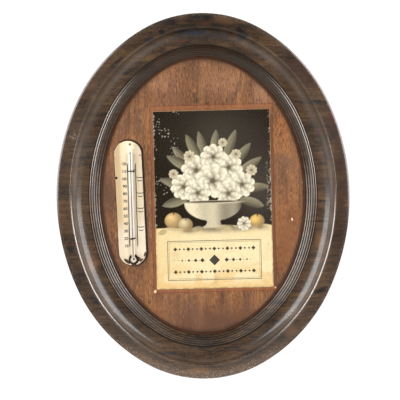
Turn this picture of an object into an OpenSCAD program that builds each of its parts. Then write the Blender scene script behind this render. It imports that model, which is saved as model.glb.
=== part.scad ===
// Oval wall thermometer: a pressed sheet-metal picture frame round a veneered panel
// that carries a mounted card and a small tube thermometer on an enamelled plate.
//
// Every sub-part is drawn lying down: X to the right, Y up the wall, and Z the height
// in front of the wall. The last lines stand it up, so that the finished part has +Z up,
// faces -Y and hangs on a wall at y = 0, with its origin at the centre of the oval.

/* [Frame outline] */
// Width of the oval frame across its outer edge
frame_w = 270; // [266:1:300]
// Height of the oval frame across its outer edge
frame_h = 337; // [330:1:380]
// Depth of the frame from the wall to the top of its ridge
frame_depth = 23; // [21:0.5:28]
// Direction of the outline at which its flat side arcs end, in degrees
side_arc_end = 25; // [20:1:30]
// Direction of the outline at which its round end arcs start, in degrees
crown_arc_start = 60; // [55:1:65]

/* [Frame moulding] */
// Thickness of the pressed sheet
sheet_t = 0.5; // [0.35:0.05:0.6]
// Width of the back flange that lies on the wall
flange_w = 7; // [4:0.5:12]
// Radius of the bend between the back flange and the skirt
back_bend_r = 1.2; // [0.8:0.1:2]
// Radius of the rounded outer edge
edge_r = 1.6; // [1:0.1:2.5]
// Width from the outer edge to the middle of the ridge bead
ridge_inset = 13.4; // [11:0.1:16]
// Radius of the ridge bead
ridge_r = 1.4; // [1:0.1:1.8]
// Slope of the outer band, in degrees
band_slope = 40; // [30:1:46]
// How far the outer band bulges out of a straight slope
band_bulge = 0.3; // [0:0.05:0.6]
// Angle at which the ridge bead runs into the cove, in degrees above level
ridge_end = 20; // [5:1:35]
// Width of the cove between the ridge bead and the reeds
cove_w = 15; // [12:0.5:20]
// Number of fine reeds round the lip
reed_count = 5; // [3:1:7]
// Width of one reed
reed_pitch = 2.1; // [1.6:0.1:2.6]
// Height of one reed over the valleys beside it
reed_h = 0.35; // [0.2:0.05:0.5]
// Height of the cove's foot over the face of the panel
lip_h = 2; // [1.8:0.1:3]
// How far the reeded band crowns up
lip_rise = 2; // [1.2:0.1:2.6]
// How far the reeded band falls from the cove to the hem
lip_drop = 1; // [0.6:0.1:1.1]
// Width of the plain hem inside the reeds
hem_w = 2.2; // [1.4:0.1:3]
// Radius of the hem's inner edge
hem_r = 0.7; // [0.5:0.05:0.75]

/* [Panel] */
// Room between the wall and the back of the backing board
back_room = 5.5; // [5:0.1:8]
// Thickness of the backing board
backing_t = 2.5; // [2:0.1:3]
// Thickness of the panel board
panel_t = 2; // [1.5:0.1:3]
// Thickness of the veneer on the panel board
veneer_t = 0.6; // [0.5:0.05:1]
// How far the boards reach under the lip, outside the sight edge
board_lap = 9; // [8:0.5:10]

/* [Card] */
// Width of the mounted card
card_w = 108; // [90:1:112]
// Height of the mounted card
card_h = 164.5; // [140:0.5:170]
// Thickness of the card's mount
mount_t = 0.7; // [0.4:0.05:1]
// Thickness of the print on the mount
print_t = 0.15; // [0.1:0.01:0.3]
// Margin of the mount that shows round the print
print_margin = 0.4; // [0.2:0.1:3]
// Free veneer between the thermometer plate and the card
card_gap = 9.6; // [8:0.1:12]
// Height of the card's middle over the middle of the oval
card_z = -3.3; // [-6:0.1:2]
// Lean of the card to the left, in degrees
card_lean = 0.7; // [0:0.1:1.5]
// Width of the sunk border beside the card
border_side = 2.1; // [1:0.1:4]
// Width of the sunk border over and under the card
border_end = 3.5; // [2:0.1:6]
// How far the card lies below the middle of its sunk border
card_drop = 1; // [0:0.1:1.5]
// Depth of the sunk border
border_depth = 0.3; // [0.1:0.05:0.4]

/* [Thermometer plate] */
// Width of the thermometer plate
plate_w = 25.4; // [23:0.1:27]
// Free plate over the top of the tube
plate_over = 10.7; // [8:0.1:14]
// Thickness of the thermometer plate
plate_t = 1; // [0.6:0.1:1.4]
// Free veneer between the sight edge and the plate
plate_margin = 12.8; // [11:0.1:15]
// Height of the plate's middle over the middle of the oval
plate_z = -6; // [-10:0.5:2]
// Lean of the tube and its scale to the left, in degrees
scale_lean = 1; // [0:0.1:2]
// Further lean of the plate's outline, in degrees
plate_skew = 1.2; // [0:0.1:1.5]
// How far the plate's middle lies to the left of the tube's axis
plate_shift = 1.3; // [0:0.1:2]
// Distance from the plate's lower end to the middle of the bulb
bulb_edge = 5.4; // [5.2:0.1:8]
// Diameter of the hole round the bulb
bulb_hole_d = 8.2; // [7:0.1:9]

/* [Tube] */
// Outer diameter of the glass tube
tube_d = 4.1; // [3.4:0.1:4.6]
// Diameter of the tube's bore
bore_d = 0.9; // [0.6:0.05:1.2]
// Outer diameter of the glass bulb
bulb_d = 5.9; // [5:0.1:6.2]
// Thickness of the bulb's glass
bulb_wall = 0.6; // [0.4:0.05:0.9]
// Diameter of the neck between the bulb and the tube
neck_d = 2.8; // [2:0.1:3.2]
// Length of the neck and its taper, measured from the middle of the bulb
neck_l = 7; // [5:0.1:9]
// Length of the tube over the highest line of its scale
tube_over = 10.92; // [9:0.01:13]
// Solid glass over the end of the bore
tube_cap = 3; // [2.5:0.1:5]

/* [Scale] */
// Lowest temperature on the scale, in degrees Fahrenheit
scale_low = 10; // [0:10:20]
// Highest temperature on the scale, in degrees Fahrenheit
scale_high = 120; // [100:10:120]
// Temperature that the column shows, in degrees Fahrenheit
reading = 75; // [30:1:95]
// Distance from the middle of the bulb to the scale's lowest line
scale_start = 12.8; // [12:0.1:14]
// Length of ten degrees on the scale
ten_degrees = 6.88; // [6.5:0.01:6.95]
// How many degrees inside the ends of the scale the two staples sit
staple_inset = 10; // [4:1:20]
// Length of the meniscus piece at the head of the column
meniscus_l = 1; // [0.6:0.1:1.5]

/* [Fasteners] */
// Diameter of the staples' wire
staple_wire_d = 0.9; // [0.6:0.05:1.1]
// How deep the staples' legs go into the panel board
staple_depth = 1.4; // [0.8:0.1:1.4]
// Slant of the upper staple, in degrees
upper_staple_slant = 2; // [-5:1:5]
// Slant of the lower staple, in degrees
lower_staple_slant = 9; // [-12:1:12]
// Length of the loose wire end beside the upper staple
staple_tail_l = 1.7; // [0.8:0.1:2]
// Direction of that wire end, in degrees to the right of the tube's axis
staple_tail_slant = 38; // [20:1:60]
// Diameter of the nail at the top of the plate
nail_d = 1.1; // [0.8:0.1:1.4]
// Diameter of the nail's head
nail_head_d = 2.1; // [1.6:0.1:2.8]
// Height of the nail's head
nail_head_h = 0.6; // [0.4:0.1:0.9]
// Distance from the plate's upper end to the nail
nail_edge = 3.6; // [3:0.1:5]
// How deep the nail goes into the panel board
nail_depth = 1.5; // [0.8:0.1:1.5]

/* [Retaining tabs] */
// Width of one retaining tab
tab_w = 9; // [6:0.5:14]
// Thickness of the tabs
tab_t = 0.4; // [0.3:0.05:0.6]
// Length of the finger that is folded over the backing board
tab_finger = 6.5; // [4:0.5:10]
// Free space between the tabs and the edge of the boards
tab_clear = 0.4; // [0.2:0.05:0.6]
// Height of the solder fillet beside a tab
solder_h = 1.8; // [1:0.1:2.4]
// Width of the solder fillet beside a tab
solder_w = 1.6; // [1:0.1:2]

/* [Hanger] */
// Distance from the top of the frame down to the hanger's barrel
hanger_drop = 73.5; // [65:0.5:90]
// Width of the hanger's strap
strap_w = 9; // [7:0.5:11]
// Thickness of the strap
strap_t = 0.6; // [0.4:0.05:0.8]
// Length of the strap over the barrel's axis
strap_l = 15; // [14:0.5:18]
// Diameter of the ring's wire
ring_wire_d = 2; // [1.5:0.1:2.2]
// Half of the ring's width, to the middle of the wire
ring_half_w = 9; // [8:0.5:12]
// Radius of the ring's corners, to the middle of the wire
ring_corner_r = 2.5; // [2.2:0.1:3.2]
// Length of the ring's straight sides
ring_side_l = 4; // [3:0.5:8]
// Diameter of the hanger's rivets
rivet_d = 2; // [1.6:0.1:2.4]
// Diameter of the rivets' heads
rivet_head_d = 4; // [3.4:0.1:4.6]
// Height of the rivets' heads
rivet_head_h = 0.9; // [0.6:0.1:1]
// Distance from the barrel's axis to the first rivet
rivet_first = 5.4; // [5.2:0.1:6]
// Distance between the two rivets
rivet_spacing = 5.6; // [5.2:0.1:6]
// Outer diameter of the washers under the clenched rivets
washer_d = 5; // [4.6:0.1:5]
// Thickness of the washers
washer_t = 0.4; // [0.3:0.05:0.5]
// Depth of the pockets for the clenched rivets
pocket_depth = 1.3; // [1.2:0.05:1.4]

/* [Fits] */
// Space between the hem and the veneer, and between other seated pieces
seat_gap = 0.05; // [0.03:0.01:0.1]
// Radial clearance of wire, nail and rivets in their holes
hole_clear = 0.05; // [0.03:0.01:0.1]
// Radial clearance of the ring's wire in its barrel
ring_clear = 0.08; // [0.05:0.01:0.1]
// Radial clearance of the mercury in its bore
mercury_clear = 0.04; // [0.02:0.01:0.06]
// Radial clearance of the washers in their pockets
pocket_clear = 0.2; // [0.1:0.05:0.3]
// Space between the tabs and the back of the moulding, and over the clenched rivets
shell_gap = 0.2; // [0.1:0.05:0.4]

/* [Hidden] */
$fn = 144;

// Eight arcs stand in for the ellipse, so that every offset of it is made of arcs too.
half_w = frame_w / 2;
half_h = frame_h / 2;
shoulder_r = sqrt(half_w * half_h);
arc_a = 1 - cos(side_arc_end);
arc_b = cos(crown_arc_start);
arc_c = sin(side_arc_end);
arc_d = 1 - sin(crown_arc_start);
reach_x = half_w - shoulder_r * (cos(side_arc_end) - cos(crown_arc_start));
reach_y = half_h - shoulder_r * (sin(crown_arc_start) - sin(side_arc_end));
arc_det = arc_a * arc_d - arc_b * arc_c;
side_r = (reach_x * arc_d - arc_b * reach_y) / arc_det;
crown_r = (arc_a * reach_y - arc_c * reach_x) / arc_det;
side_x = half_w - side_r;
shoulder_x = side_x + (side_r - shoulder_r) * cos(side_arc_end);
shoulder_y = (side_r - shoulder_r) * sin(side_arc_end);
crown_y = half_h - crown_r;
shoulder_span = crown_arc_start - side_arc_end;
crown_span = 180 - 2 * crown_arc_start;
// Each arc: centre x, centre y, radius, start direction, span
ARCS = [
    [side_x, 0, side_r, -side_arc_end, 2 * side_arc_end],
    [shoulder_x, shoulder_y, shoulder_r, side_arc_end, shoulder_span],
    [0, crown_y, crown_r, crown_arc_start, crown_span],
    [-shoulder_x, shoulder_y, shoulder_r, 180 - crown_arc_start, shoulder_span],
    [-side_x, 0, side_r, 180 - side_arc_end, 2 * side_arc_end],
    [-shoulder_x, -shoulder_y, shoulder_r, 180 + side_arc_end, shoulder_span],
    [0, -crown_y, crown_r, 180 + crown_arc_start, crown_span],
    [shoulder_x, -shoulder_y, shoulder_r, 360 - crown_arc_start, shoulder_span]
];

// Heights in front of the wall
backing_front = back_room + backing_t;
panel_front = backing_front + panel_t;
face_h = panel_front + veneer_t;
border_floor = face_h - border_depth;
mount_front = border_floor + mount_t;
plate_front = face_h + plate_t;

// Moulding: insets from the outline and heights
cove_start = ridge_inset + ridge_r * cos(ridge_end);
reed_start = cove_start + cove_w;
reeds_w = reed_count * reed_pitch;
hem_start = reed_start + reeds_w;
moulding_w = hem_start + hem_w;
board_inset = moulding_w - board_lap;
cove_foot_h = face_h + lip_h;
hem_h = cove_foot_h - lip_drop;
hem_seat_h = face_h + seat_gap;
ridge_h = frame_depth - ridge_r;
cove_top_h = ridge_h + ridge_r * sin(ridge_end);
normal_angle = 90 + band_slope;
band_end = [ridge_inset + ridge_r * cos(normal_angle), ridge_h + ridge_r * sin(normal_angle)];
band_start_x = edge_r + edge_r * cos(normal_angle);
band_run = band_end.x - band_start_x;
band_start = [band_start_x, band_end.y - band_run * tan(band_slope)];
skirt_h = band_start.y - edge_r * sin(normal_angle);
band_steps = 4;
cove_steps = 8;
reed_steps = 4;
rim_w = 10;

// Points on an arc of a section
function arc_points(x, y, r, from, to, steps) =
    [for (i = [0:steps]) let (a = from + (to - from) * i / steps) [x + r * cos(a), y + r * sin(a)]];

// Height of the reeded band's crown at a share of its width, without its reeds
function lip_height(share) = cove_foot_h + 4 * lip_rise * share * (1 - share) - lip_drop * share;

// Straight slope of the outer band, bulged out a little
band_points = [for (i = [1:band_steps - 1]) let (s = i / band_steps)
    band_start + (band_end - band_start) * s + band_bulge * sin(180 * s) * [-sin(band_slope), cos(band_slope)]];

// Quarter ellipse of the cove, from the ridge down to the foot
cove_points = [for (i = [1:cove_steps]) let (a = 90 - 90 * i / cove_steps)
    [reed_start - cove_w * sin(a), cove_foot_h + (cove_top_h - cove_foot_h) * (1 - cos(a))]];

// Reeds: round ribs with sharp valleys, riding on the crowned band
reed_points = [for (i = [1:reed_count * reed_steps]) let (s = i / (reed_count * reed_steps))
    [reed_start + reeds_w * s, lip_height(s) + reed_h * abs(sin(180 * reed_count * s))]];

// Crowned band without its reeds, for the back of the sheet
lip_back_points = [for (i = [1:reed_count]) let (s = i / reed_count)
    [reed_start + reeds_w * s, lip_height(s)]];

hem_points = concat(
    arc_points(moulding_w - hem_r, hem_h - hem_r, hem_r, 90, 0, 3),
    [[moulding_w, hem_seat_h]]
);

// Line of the section up to the cove's foot, from the flange outwards and up
outer_points = concat(
    [[flange_w, 0]],
    arc_points(back_bend_r, back_bend_r, back_bend_r, 270, 180, 3),
    arc_points(edge_r, skirt_h, edge_r, 180, normal_angle, 3),
    band_points,
    arc_points(ridge_inset, ridge_h, ridge_r, normal_angle, ridge_end, 5),
    cove_points
);
face_line = concat(outer_points, reed_points, hem_points);
back_line = concat(outer_points, lip_back_points, hem_points);

// Direction square to a line at one of its points, towards the back of the sheet
function inward(line, i) =
    let (a = line[max(i - 1, 0)], b = line[min(i + 1, len(line) - 1)], d = b - a) [d.y, -d.x] / norm(d);
back_offset = [for (i = [0:len(back_line) - 1]) back_line[i] + sheet_t * inward(back_line, i)];
shell_section = [
    for (p = face_line) [-p.x, p.y],
    for (i = [len(back_offset) - 1:-1:0]) [-back_offset[i].x, back_offset[i].y]
];

// Thermometer
scale_l = ten_degrees * (scale_high - scale_low) / 10;
tube_l = scale_start + scale_l + tube_over;
plate_l = bulb_edge + tube_l + plate_over;
plate_x = -(half_w - moulding_w - plate_margin - plate_w / 2);
plate_end_r = plate_w / 2;
bulb_to_plate = plate_l / 2 - bulb_edge;
tube_r = tube_d / 2;
bulb_r = bulb_d / 2;
bore_r = bore_d / 2;
neck_r = neck_d / 2;
tube_h = plate_front + seat_gap + tube_r;
bore_end = tube_l - tube_cap;
mercury_r = bore_r - mercury_clear;
bulb_mercury_r = bulb_r - bulb_wall - mercury_clear;
column_start = bulb_r;
column_top = scale_start + ten_degrees * (reading - scale_low) / 10;
lower_staple_y = scale_start + ten_degrees * staple_inset / 10;
upper_staple_y = scale_start + scale_l - ten_degrees * staple_inset / 10;
nail_y = bulb_to_plate + plate_l / 2 - nail_edge;
staple_wire_r = staple_wire_d / 2;
staple_bend_r = tube_r + seat_gap + staple_wire_r;
staple_end_h = panel_front - staple_depth;
nail_end_h = panel_front - nail_depth;
nail_r = nail_d / 2;

// Card
card_x = plate_x + plate_w / 2 + card_gap + card_w / 2;

// Retaining tabs
tab_leg_in = board_inset - tab_clear;
tab_leg_out = tab_leg_in - tab_t;
tab_top_h = lip_height((tab_leg_out - reed_start) / reeds_w) - sheet_t - shell_gap;
tab_finger_h = back_room - seat_gap;
solder_out = tab_leg_out - solder_w;
solder_out_h = lip_height((solder_out - reed_start) / reeds_w) - sheet_t - shell_gap;

// Hanger
ring_wire_r = ring_wire_d / 2;
barrel_bore_r = ring_wire_r + ring_clear;
barrel_r = barrel_bore_r + strap_t;
barrel_h = back_room - barrel_r;
hanger_y = half_h - hanger_drop;
strap_back_h = back_room - strap_t;
bar_half_l = ring_half_w - ring_corner_r;
rivet_r = rivet_d / 2;
rivet_y = [rivet_first, rivet_first + rivet_spacing];
pocket_floor_h = backing_front - pocket_depth;
washer_front_h = pocket_floor_h + washer_t;
clench_h = pocket_depth - washer_t - shell_gap;

// Moves in a coarse and a fine step, so that the ends of the arcs meet without rounding
module fine_move(x, y) {
    coarse = [round(x * 1000) / 1000, round(y * 1000) / 1000];
    translate(coarse) translate([x, y] - coarse) children();
}

// Sweeps a section round the oval. The section's x is minus its inset from the outline.
module oval_sweep() {
    for (arc = ARCS)
        fine_move(arc[0], arc[1])
            rotate_extrude(start = arc[3], angle = arc[4]) fine_move(arc[2], 0) children();
}

// Flat oval plate, its edge set in from the outline: one band per arc round a flat core
module oval_plate(inset, thickness) {
    for (arc = ARCS) {
        band_w = (arc[2] - inset) * (1 - cos(arc[4] / 2)) + rim_w;
        fine_move(arc[0], arc[1]) rotate_extrude(start = arc[3], angle = arc[4])
            fine_move(arc[2], 0) translate([-inset - band_w, 0]) square([band_w, thickness]);
    }
    linear_extrude(thickness) polygon([for (arc = ARCS) let (r = arc[2] - inset - rim_w / 2)
        [arc[0] + r * cos(arc[3]), arc[1] + r * sin(arc[3])]]);
}

// Short piece of the sweep in the middle of each arc, as wide as a tab
module tab_sweep(width, inset) {
    for (arc = ARCS) {
        span = width / (arc[2] - inset) * 180 / PI;
        translate([arc[0], arc[1], 0])
            rotate_extrude(start = arc[3] + (arc[4] - span) / 2, angle = span)
                translate([arc[2], 0]) children();
    }
}

// Places things on the tube's axis: origin in the middle of the bulb, y up the tube
module on_scale() {
    translate([plate_x, plate_z, 0]) rotate(scale_lean)
        translate([plate_shift, -bulb_to_plate, 0]) children();
}

// Holes of the staples' legs and the nail, from one height up to another
module plate_holes(from, to) {
    on_scale() {
        for (staple = [[lower_staple_y, lower_staple_slant], [upper_staple_y, upper_staple_slant]])
            translate([0, staple[0], from]) rotate(staple[1]) for (side = [-1, 1])
                translate([side * staple_bend_r, 0, 0])
                    cylinder(h = to - from, r = staple_wire_r + hole_clear, $fn = 24);
        translate([0, nail_y, from]) cylinder(h = to - from, r = nail_r + hole_clear, $fn = 24);
    }
}

// Low dome with a flat underside, such as a nail or rivet head
module dome(d, h) {
    dome_r = (d * d / 4 + h * h) / (2 * h);
    intersection() {
        translate([0, 0, h - dome_r]) sphere(r = dome_r, $fn = 48);
        cylinder(h = h + 1, r = d / 2 + 1, $fn = 48);
    }
}

module frame_shell() {
    color([0.25, 0.17, 0.12]) oval_sweep() polygon(shell_section);
}

module retaining_tabs() {
    color([0.62, 0.60, 0.56]) tab_sweep(tab_w, tab_leg_in) {
        polygon([
            [-tab_leg_out, tab_top_h],
            [-tab_leg_out, tab_finger_h - tab_t],
            [-tab_leg_in - tab_finger, tab_finger_h - tab_t],
            [-tab_leg_in - tab_finger, tab_finger_h],
            [-tab_leg_in, tab_finger_h],
            [-tab_leg_in, tab_top_h]
        ]);
    }
}

module tab_solder() {
    color([0.70, 0.70, 0.70]) tab_sweep(tab_w - 2 * tab_t, tab_leg_in) {
        polygon([
            [-tab_leg_out + seat_gap, tab_top_h],
            [-tab_leg_out + seat_gap, tab_top_h - solder_h],
            [-solder_out, solder_out_h]
        ]);
    }
}

module veneer_face() {
    color([0.48, 0.28, 0.19]) difference() {
        translate([0, 0, panel_front]) oval_plate(board_inset, veneer_t);
        translate([card_x, card_z + card_drop, border_floor]) rotate(card_lean)
            translate([-card_w / 2 - border_side, -card_h / 2 - border_end, 0])
                cube([card_w + 2 * border_side, card_h + 2 * border_end, border_depth + 1]);
        plate_holes(panel_front - 1, face_h + 1);
    }
}

module panel_board() {
    color([0.66, 0.55, 0.40]) difference() {
        translate([0, 0, backing_front]) oval_plate(board_inset, panel_t);
        plate_holes(panel_front - max(staple_depth, nail_depth) - hole_clear, panel_front + 1);
    }
}

module backing_board() {
    color([0.60, 0.50, 0.36]) difference() {
        translate([0, 0, back_room]) oval_plate(board_inset, backing_t);
        for (y = rivet_y) translate([0, hanger_y + y, 0]) {
            cylinder(h = backing_front, r = rivet_r + hole_clear, $fn = 32);
            translate([0, 0, pocket_floor_h])
                cylinder(h = pocket_depth + 1, r = washer_d / 2 + pocket_clear, $fn = 32);
        }
    }
}

module card_mount() {
    color([0.80, 0.74, 0.60]) translate([card_x, card_z, border_floor]) rotate(card_lean)
        translate([-card_w / 2, -card_h / 2, 0]) cube([card_w, card_h, mount_t]);
}

module card_print() {
    color([0.55, 0.48, 0.38]) translate([card_x, card_z, mount_front]) rotate(card_lean)
        translate([print_margin - card_w / 2, print_margin - card_h / 2, 0])
            cube([card_w - 2 * print_margin, card_h - 2 * print_margin, print_t]);
}

module scale_plate() {
    color([0.94, 0.88, 0.72]) difference() {
        on_scale() translate([-plate_shift, bulb_to_plate, face_h]) rotate(plate_skew) {
            translate([-plate_w / 2, plate_end_r - plate_l / 2, 0])
                cube([plate_w, plate_l - plate_w, plate_t]);
            for (side = [-1, 1]) translate([0, side * (plate_l / 2 - plate_end_r), 0])
                cylinder(h = plate_t, r = plate_end_r);
        }
        on_scale() translate([0, 0, face_h - 1]) cylinder(h = plate_t + 2, d = bulb_hole_d, $fn = 64);
        plate_holes(face_h - 1, plate_front + 1);
    }
}

module glass_tube() {
    color([0.92, 0.94, 0.92, 0.5]) on_scale() translate([0, 0, tube_h]) rotate([-90, 0, 0])
        difference() {
            union() {
                rotate_extrude($fn = 64) polygon([
                    [0, 0],
                    [neck_r, 0],
                    [neck_r, bulb_r + 1],
                    [tube_r, neck_l],
                    [tube_r, tube_l - tube_r],
                    [0, tube_l - tube_r]
                ]);
                translate([0, 0, tube_l - tube_r]) sphere(r = tube_r, $fn = 64);
                sphere(r = bulb_r, $fn = 64);
            }
            sphere(r = bulb_r - bulb_wall, $fn = 64);
            cylinder(h = bore_end, r = bore_r, $fn = 32);
        }
}

module bulb_mercury() {
    color([0.80, 0.80, 0.82]) on_scale() translate([0, 0, tube_h]) rotate([-90, 0, 0]) {
        sphere(r = bulb_mercury_r, $fn = 48);
        cylinder(h = column_start, r = mercury_r, $fn = 32);
    }
}

module mercury_column() {
    color([0.72, 0.66, 0.70]) on_scale() translate([0, column_start, tube_h]) rotate([-90, 0, 0])
        cylinder(h = column_top - column_start, r = mercury_r, $fn = 32);
}

module column_meniscus() {
    color([0.85, 0.80, 0.84]) on_scale() translate([0, column_top, tube_h]) rotate([-90, 0, 0]) {
        cylinder(h = meniscus_l - mercury_r, r = mercury_r, $fn = 32);
        translate([0, 0, meniscus_l - mercury_r]) sphere(r = mercury_r, $fn = 32);
    }
}

// Wire bridge over the tube with two legs down into the panel board
module staple() {
    translate([0, 0, tube_h]) rotate([90, 0, 0])
        rotate_extrude(angle = 180, $fn = 64) translate([staple_bend_r, 0]) circle(r = staple_wire_r, $fn = 24);
    for (side = [-1, 1]) translate([side * staple_bend_r, 0, staple_end_h])
        cylinder(h = tube_h - staple_end_h, r = staple_wire_r, $fn = 24);
}

module upper_staple() {
    color([0.16, 0.14, 0.12]) on_scale() translate([0, upper_staple_y, 0]) rotate(upper_staple_slant) {
        staple();
        translate([staple_bend_r, 0, plate_front + staple_wire_r + seat_gap]) rotate([-90, 0, -staple_tail_slant]) {
            cylinder(h = staple_tail_l, r = staple_wire_r, $fn = 24);
            translate([0, 0, staple_tail_l]) sphere(r = staple_wire_r, $fn = 24);
        }
    }
}

module lower_staple() {
    color([0.16, 0.14, 0.12]) on_scale() translate([0, lower_staple_y, 0])
        rotate(lower_staple_slant) staple();
}

module plate_nail() {
    color([0.45, 0.40, 0.28]) on_scale() translate([0, nail_y, 0]) {
        translate([0, 0, nail_end_h]) cylinder(h = plate_front - nail_end_h, r = nail_r, $fn = 24);
        translate([0, 0, plate_front]) dome(nail_head_d, nail_head_h);
    }
}

module hanger_strap() {
    color([0.60, 0.48, 0.26]) translate([0, hanger_y, 0]) difference() {
        union() {
            translate([-strap_w / 2, 0, barrel_h]) rotate([0, 90, 0])
                cylinder(h = strap_w, r = barrel_r, $fn = 64);
            translate([-strap_w / 2, 0, strap_back_h]) cube([strap_w, strap_l, strap_t]);
        }
        translate([-strap_w, 0, barrel_h]) rotate([0, 90, 0])
            cylinder(h = 2 * strap_w, r = barrel_bore_r, $fn = 64);
        for (y = rivet_y) translate([0, y, strap_back_h - 1])
            cylinder(h = strap_t + 2, r = rivet_r + hole_clear, $fn = 32);
    }
}

// D-shaped wire ring that hangs from its straight bar
module hanger_ring() {
    color([0.66, 0.54, 0.30]) translate([0, hanger_y, barrel_h]) {
        translate([-bar_half_l, 0, 0]) rotate([0, 90, 0])
            cylinder(h = 2 * bar_half_l, r = ring_wire_r, $fn = 32);
        for (side = [-1, 1]) {
            translate([side * bar_half_l, -ring_corner_r, 0])
                rotate_extrude(start = side > 0 ? 0 : 90, angle = 90, $fn = 64)
                    translate([ring_corner_r, 0]) circle(r = ring_wire_r, $fn = 32);
            translate([side * ring_half_w, -ring_corner_r, 0]) rotate([90, 0, 0])
                cylinder(h = ring_side_l, r = ring_wire_r, $fn = 32);
        }
        translate([0, -ring_corner_r - ring_side_l, 0])
            rotate_extrude(start = 180, angle = 180, $fn = 96)
                translate([ring_half_w, 0]) circle(r = ring_wire_r, $fn = 32);
    }
}

module hanger_rivets() {
    color([0.64, 0.52, 0.30]) for (y = rivet_y) translate([0, hanger_y + y, 0]) {
        translate([0, 0, strap_back_h])
            cylinder(h = washer_front_h + seat_gap - strap_back_h, r = rivet_r, $fn = 32);
        translate([0, 0, strap_back_h]) mirror([0, 0, 1]) dome(rivet_head_d, rivet_head_h);
        translate([0, 0, washer_front_h + seat_gap]) dome(rivet_head_d, clench_h);
    }
}

module rivet_washers() {
    color([0.55, 0.55, 0.55]) for (y = rivet_y) translate([0, hanger_y + y, pocket_floor_h])
        difference() {
            cylinder(h = washer_t, d = washer_d, $fn = 32);
            translate([0, 0, -1]) cylinder(h = washer_t + 2, r = rivet_r + hole_clear, $fn = 32);
        }
}

// Stands the part up: what was drawn lying down faces -Y
module upright() { rotate([90, 0, 0]) children(); }

upright() frame_shell();
upright() retaining_tabs();
upright() tab_solder();
upright() veneer_face();
upright() panel_board();
upright() backing_board();
upright() card_mount();
upright() card_print();
upright() scale_plate();
upright() glass_tube();
upright() bulb_mercury();
upright() mercury_column();
upright() column_meniscus();
upright() upper_staple();
upright() lower_staple();
upright() plate_nail();
upright() hanger_strap();
upright() hanger_ring();
upright() hanger_rivets();
upright() rivet_washers();
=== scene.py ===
# %% [markdown]
# An oval wall thermometer: a pressed tin picture frame with a wood-grain finish, a veneered
# panel, a mounted card and a small tube thermometer on a cream enamelled plate.
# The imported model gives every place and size. This lesson dresses it: it rebuilds the pieces
# whose surface needs finer form than the solids have, and gives each one a finish from nodes.
# Lengths are in metres. The object hangs at y = 0 and faces -Y, with +Z up.

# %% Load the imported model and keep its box
import math

import bpy
import numpy as np
from mathutils import Matrix, Vector


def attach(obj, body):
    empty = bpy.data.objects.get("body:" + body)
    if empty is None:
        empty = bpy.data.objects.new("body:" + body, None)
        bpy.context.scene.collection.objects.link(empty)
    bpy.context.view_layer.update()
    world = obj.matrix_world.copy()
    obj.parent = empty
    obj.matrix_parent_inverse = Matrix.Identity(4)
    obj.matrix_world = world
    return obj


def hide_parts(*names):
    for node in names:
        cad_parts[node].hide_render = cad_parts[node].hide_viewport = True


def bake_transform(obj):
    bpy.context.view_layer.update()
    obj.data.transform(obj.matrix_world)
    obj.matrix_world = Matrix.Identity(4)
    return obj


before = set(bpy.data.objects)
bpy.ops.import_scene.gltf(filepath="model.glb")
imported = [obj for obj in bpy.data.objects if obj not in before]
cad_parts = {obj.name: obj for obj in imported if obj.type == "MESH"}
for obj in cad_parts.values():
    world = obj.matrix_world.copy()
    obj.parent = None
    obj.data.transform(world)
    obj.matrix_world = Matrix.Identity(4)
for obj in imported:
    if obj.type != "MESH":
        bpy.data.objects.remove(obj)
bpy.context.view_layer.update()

# %% [markdown]
# The picture was taken straight on with a long lens, so the oval shows no taper. The camera
# stands far off, looks along +Y and is rolled a hair, because the object leans to the left.
# One pixel of the 400-pixel picture is 0.9217 mm at the outer edge of the frame. With that,
# any mark seen at a pixel has its place on the wall.

# %% Camera
MM = 0.001
PICTURE = 400
PIXEL = 0.9217 * MM
ROLL = math.radians(0.68)
DISTANCE = 1.8
SENSOR = 36
# Middle of the oval in the picture, in pixels right of and above the picture's middle
OFF_RIGHT = 3.1
OFF_UP = 4.25
EDGE_HEIGHT = 11 * MM

camera_data = bpy.data.cameras.new("camera")
camera_data.sensor_width = SENSOR
camera_data.lens = SENSOR * DISTANCE / (PICTURE * PIXEL)
camera = bpy.data.objects.new("camera", camera_data)
bpy.context.scene.collection.objects.link(camera)
side = Vector((math.cos(ROLL), 0, -math.sin(ROLL)))
up = Vector((math.sin(ROLL), 0, math.cos(ROLL)))
back = Vector((0, -1, 0))
stand = -OFF_RIGHT * PIXEL * side - OFF_UP * PIXEL * up + (DISTANCE + EDGE_HEIGHT) * back
camera.matrix_world = Matrix.Translation(stand) @ Matrix((side, up, back)).transposed().to_4x4()
bpy.context.scene.camera = camera
print("lens:", round(camera_data.lens, 1), "mm")


def spot(right, down):
    """Place on the wall, in metres, of a pixel of the picture."""
    dx = (right - PICTURE / 2 - OFF_RIGHT) * PIXEL
    dz = (PICTURE / 2 - OFF_UP - down) * PIXEL
    return (dx * side.x + dz * up.x, dx * side.z + dz * up.z)


# %% [markdown]
# A varnished moulding shows its form only through what it mirrors. The picture has a bright
# streak on each side of the cove and on the reeds, and none at the top and bottom, so two wide
# soft lights stand left and right of the camera, a little above, and all else is dim.
# Two weak ones below stand for light that comes back from a table.

# %% Soft lights
LIGHT_DISTANCE = 1.3
LIGHT_OFF_AXIS = math.radians(50)
LIGHT_SIZE = 0.8


def soft_light(name, degrees_up, sideways, power):
    """An area light that looks at the middle of the object from one side."""
    data = bpy.data.lights.new(name, "AREA")
    data.shape = "SQUARE"
    data.size = LIGHT_SIZE
    data.energy = power
    light = bpy.data.objects.new(name, data)
    bpy.context.scene.collection.objects.link(light)
    spread = math.sin(LIGHT_OFF_AXIS)
    rise = math.radians(degrees_up)
    direction = Vector((sideways * spread * math.cos(rise), -math.cos(LIGHT_OFF_AXIS),
                        spread * math.sin(rise)))
    light.location = direction * LIGHT_DISTANCE
    light.rotation_euler = direction.to_track_quat("Z", "Y").to_euler()
    print(name, power, "W")


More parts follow.
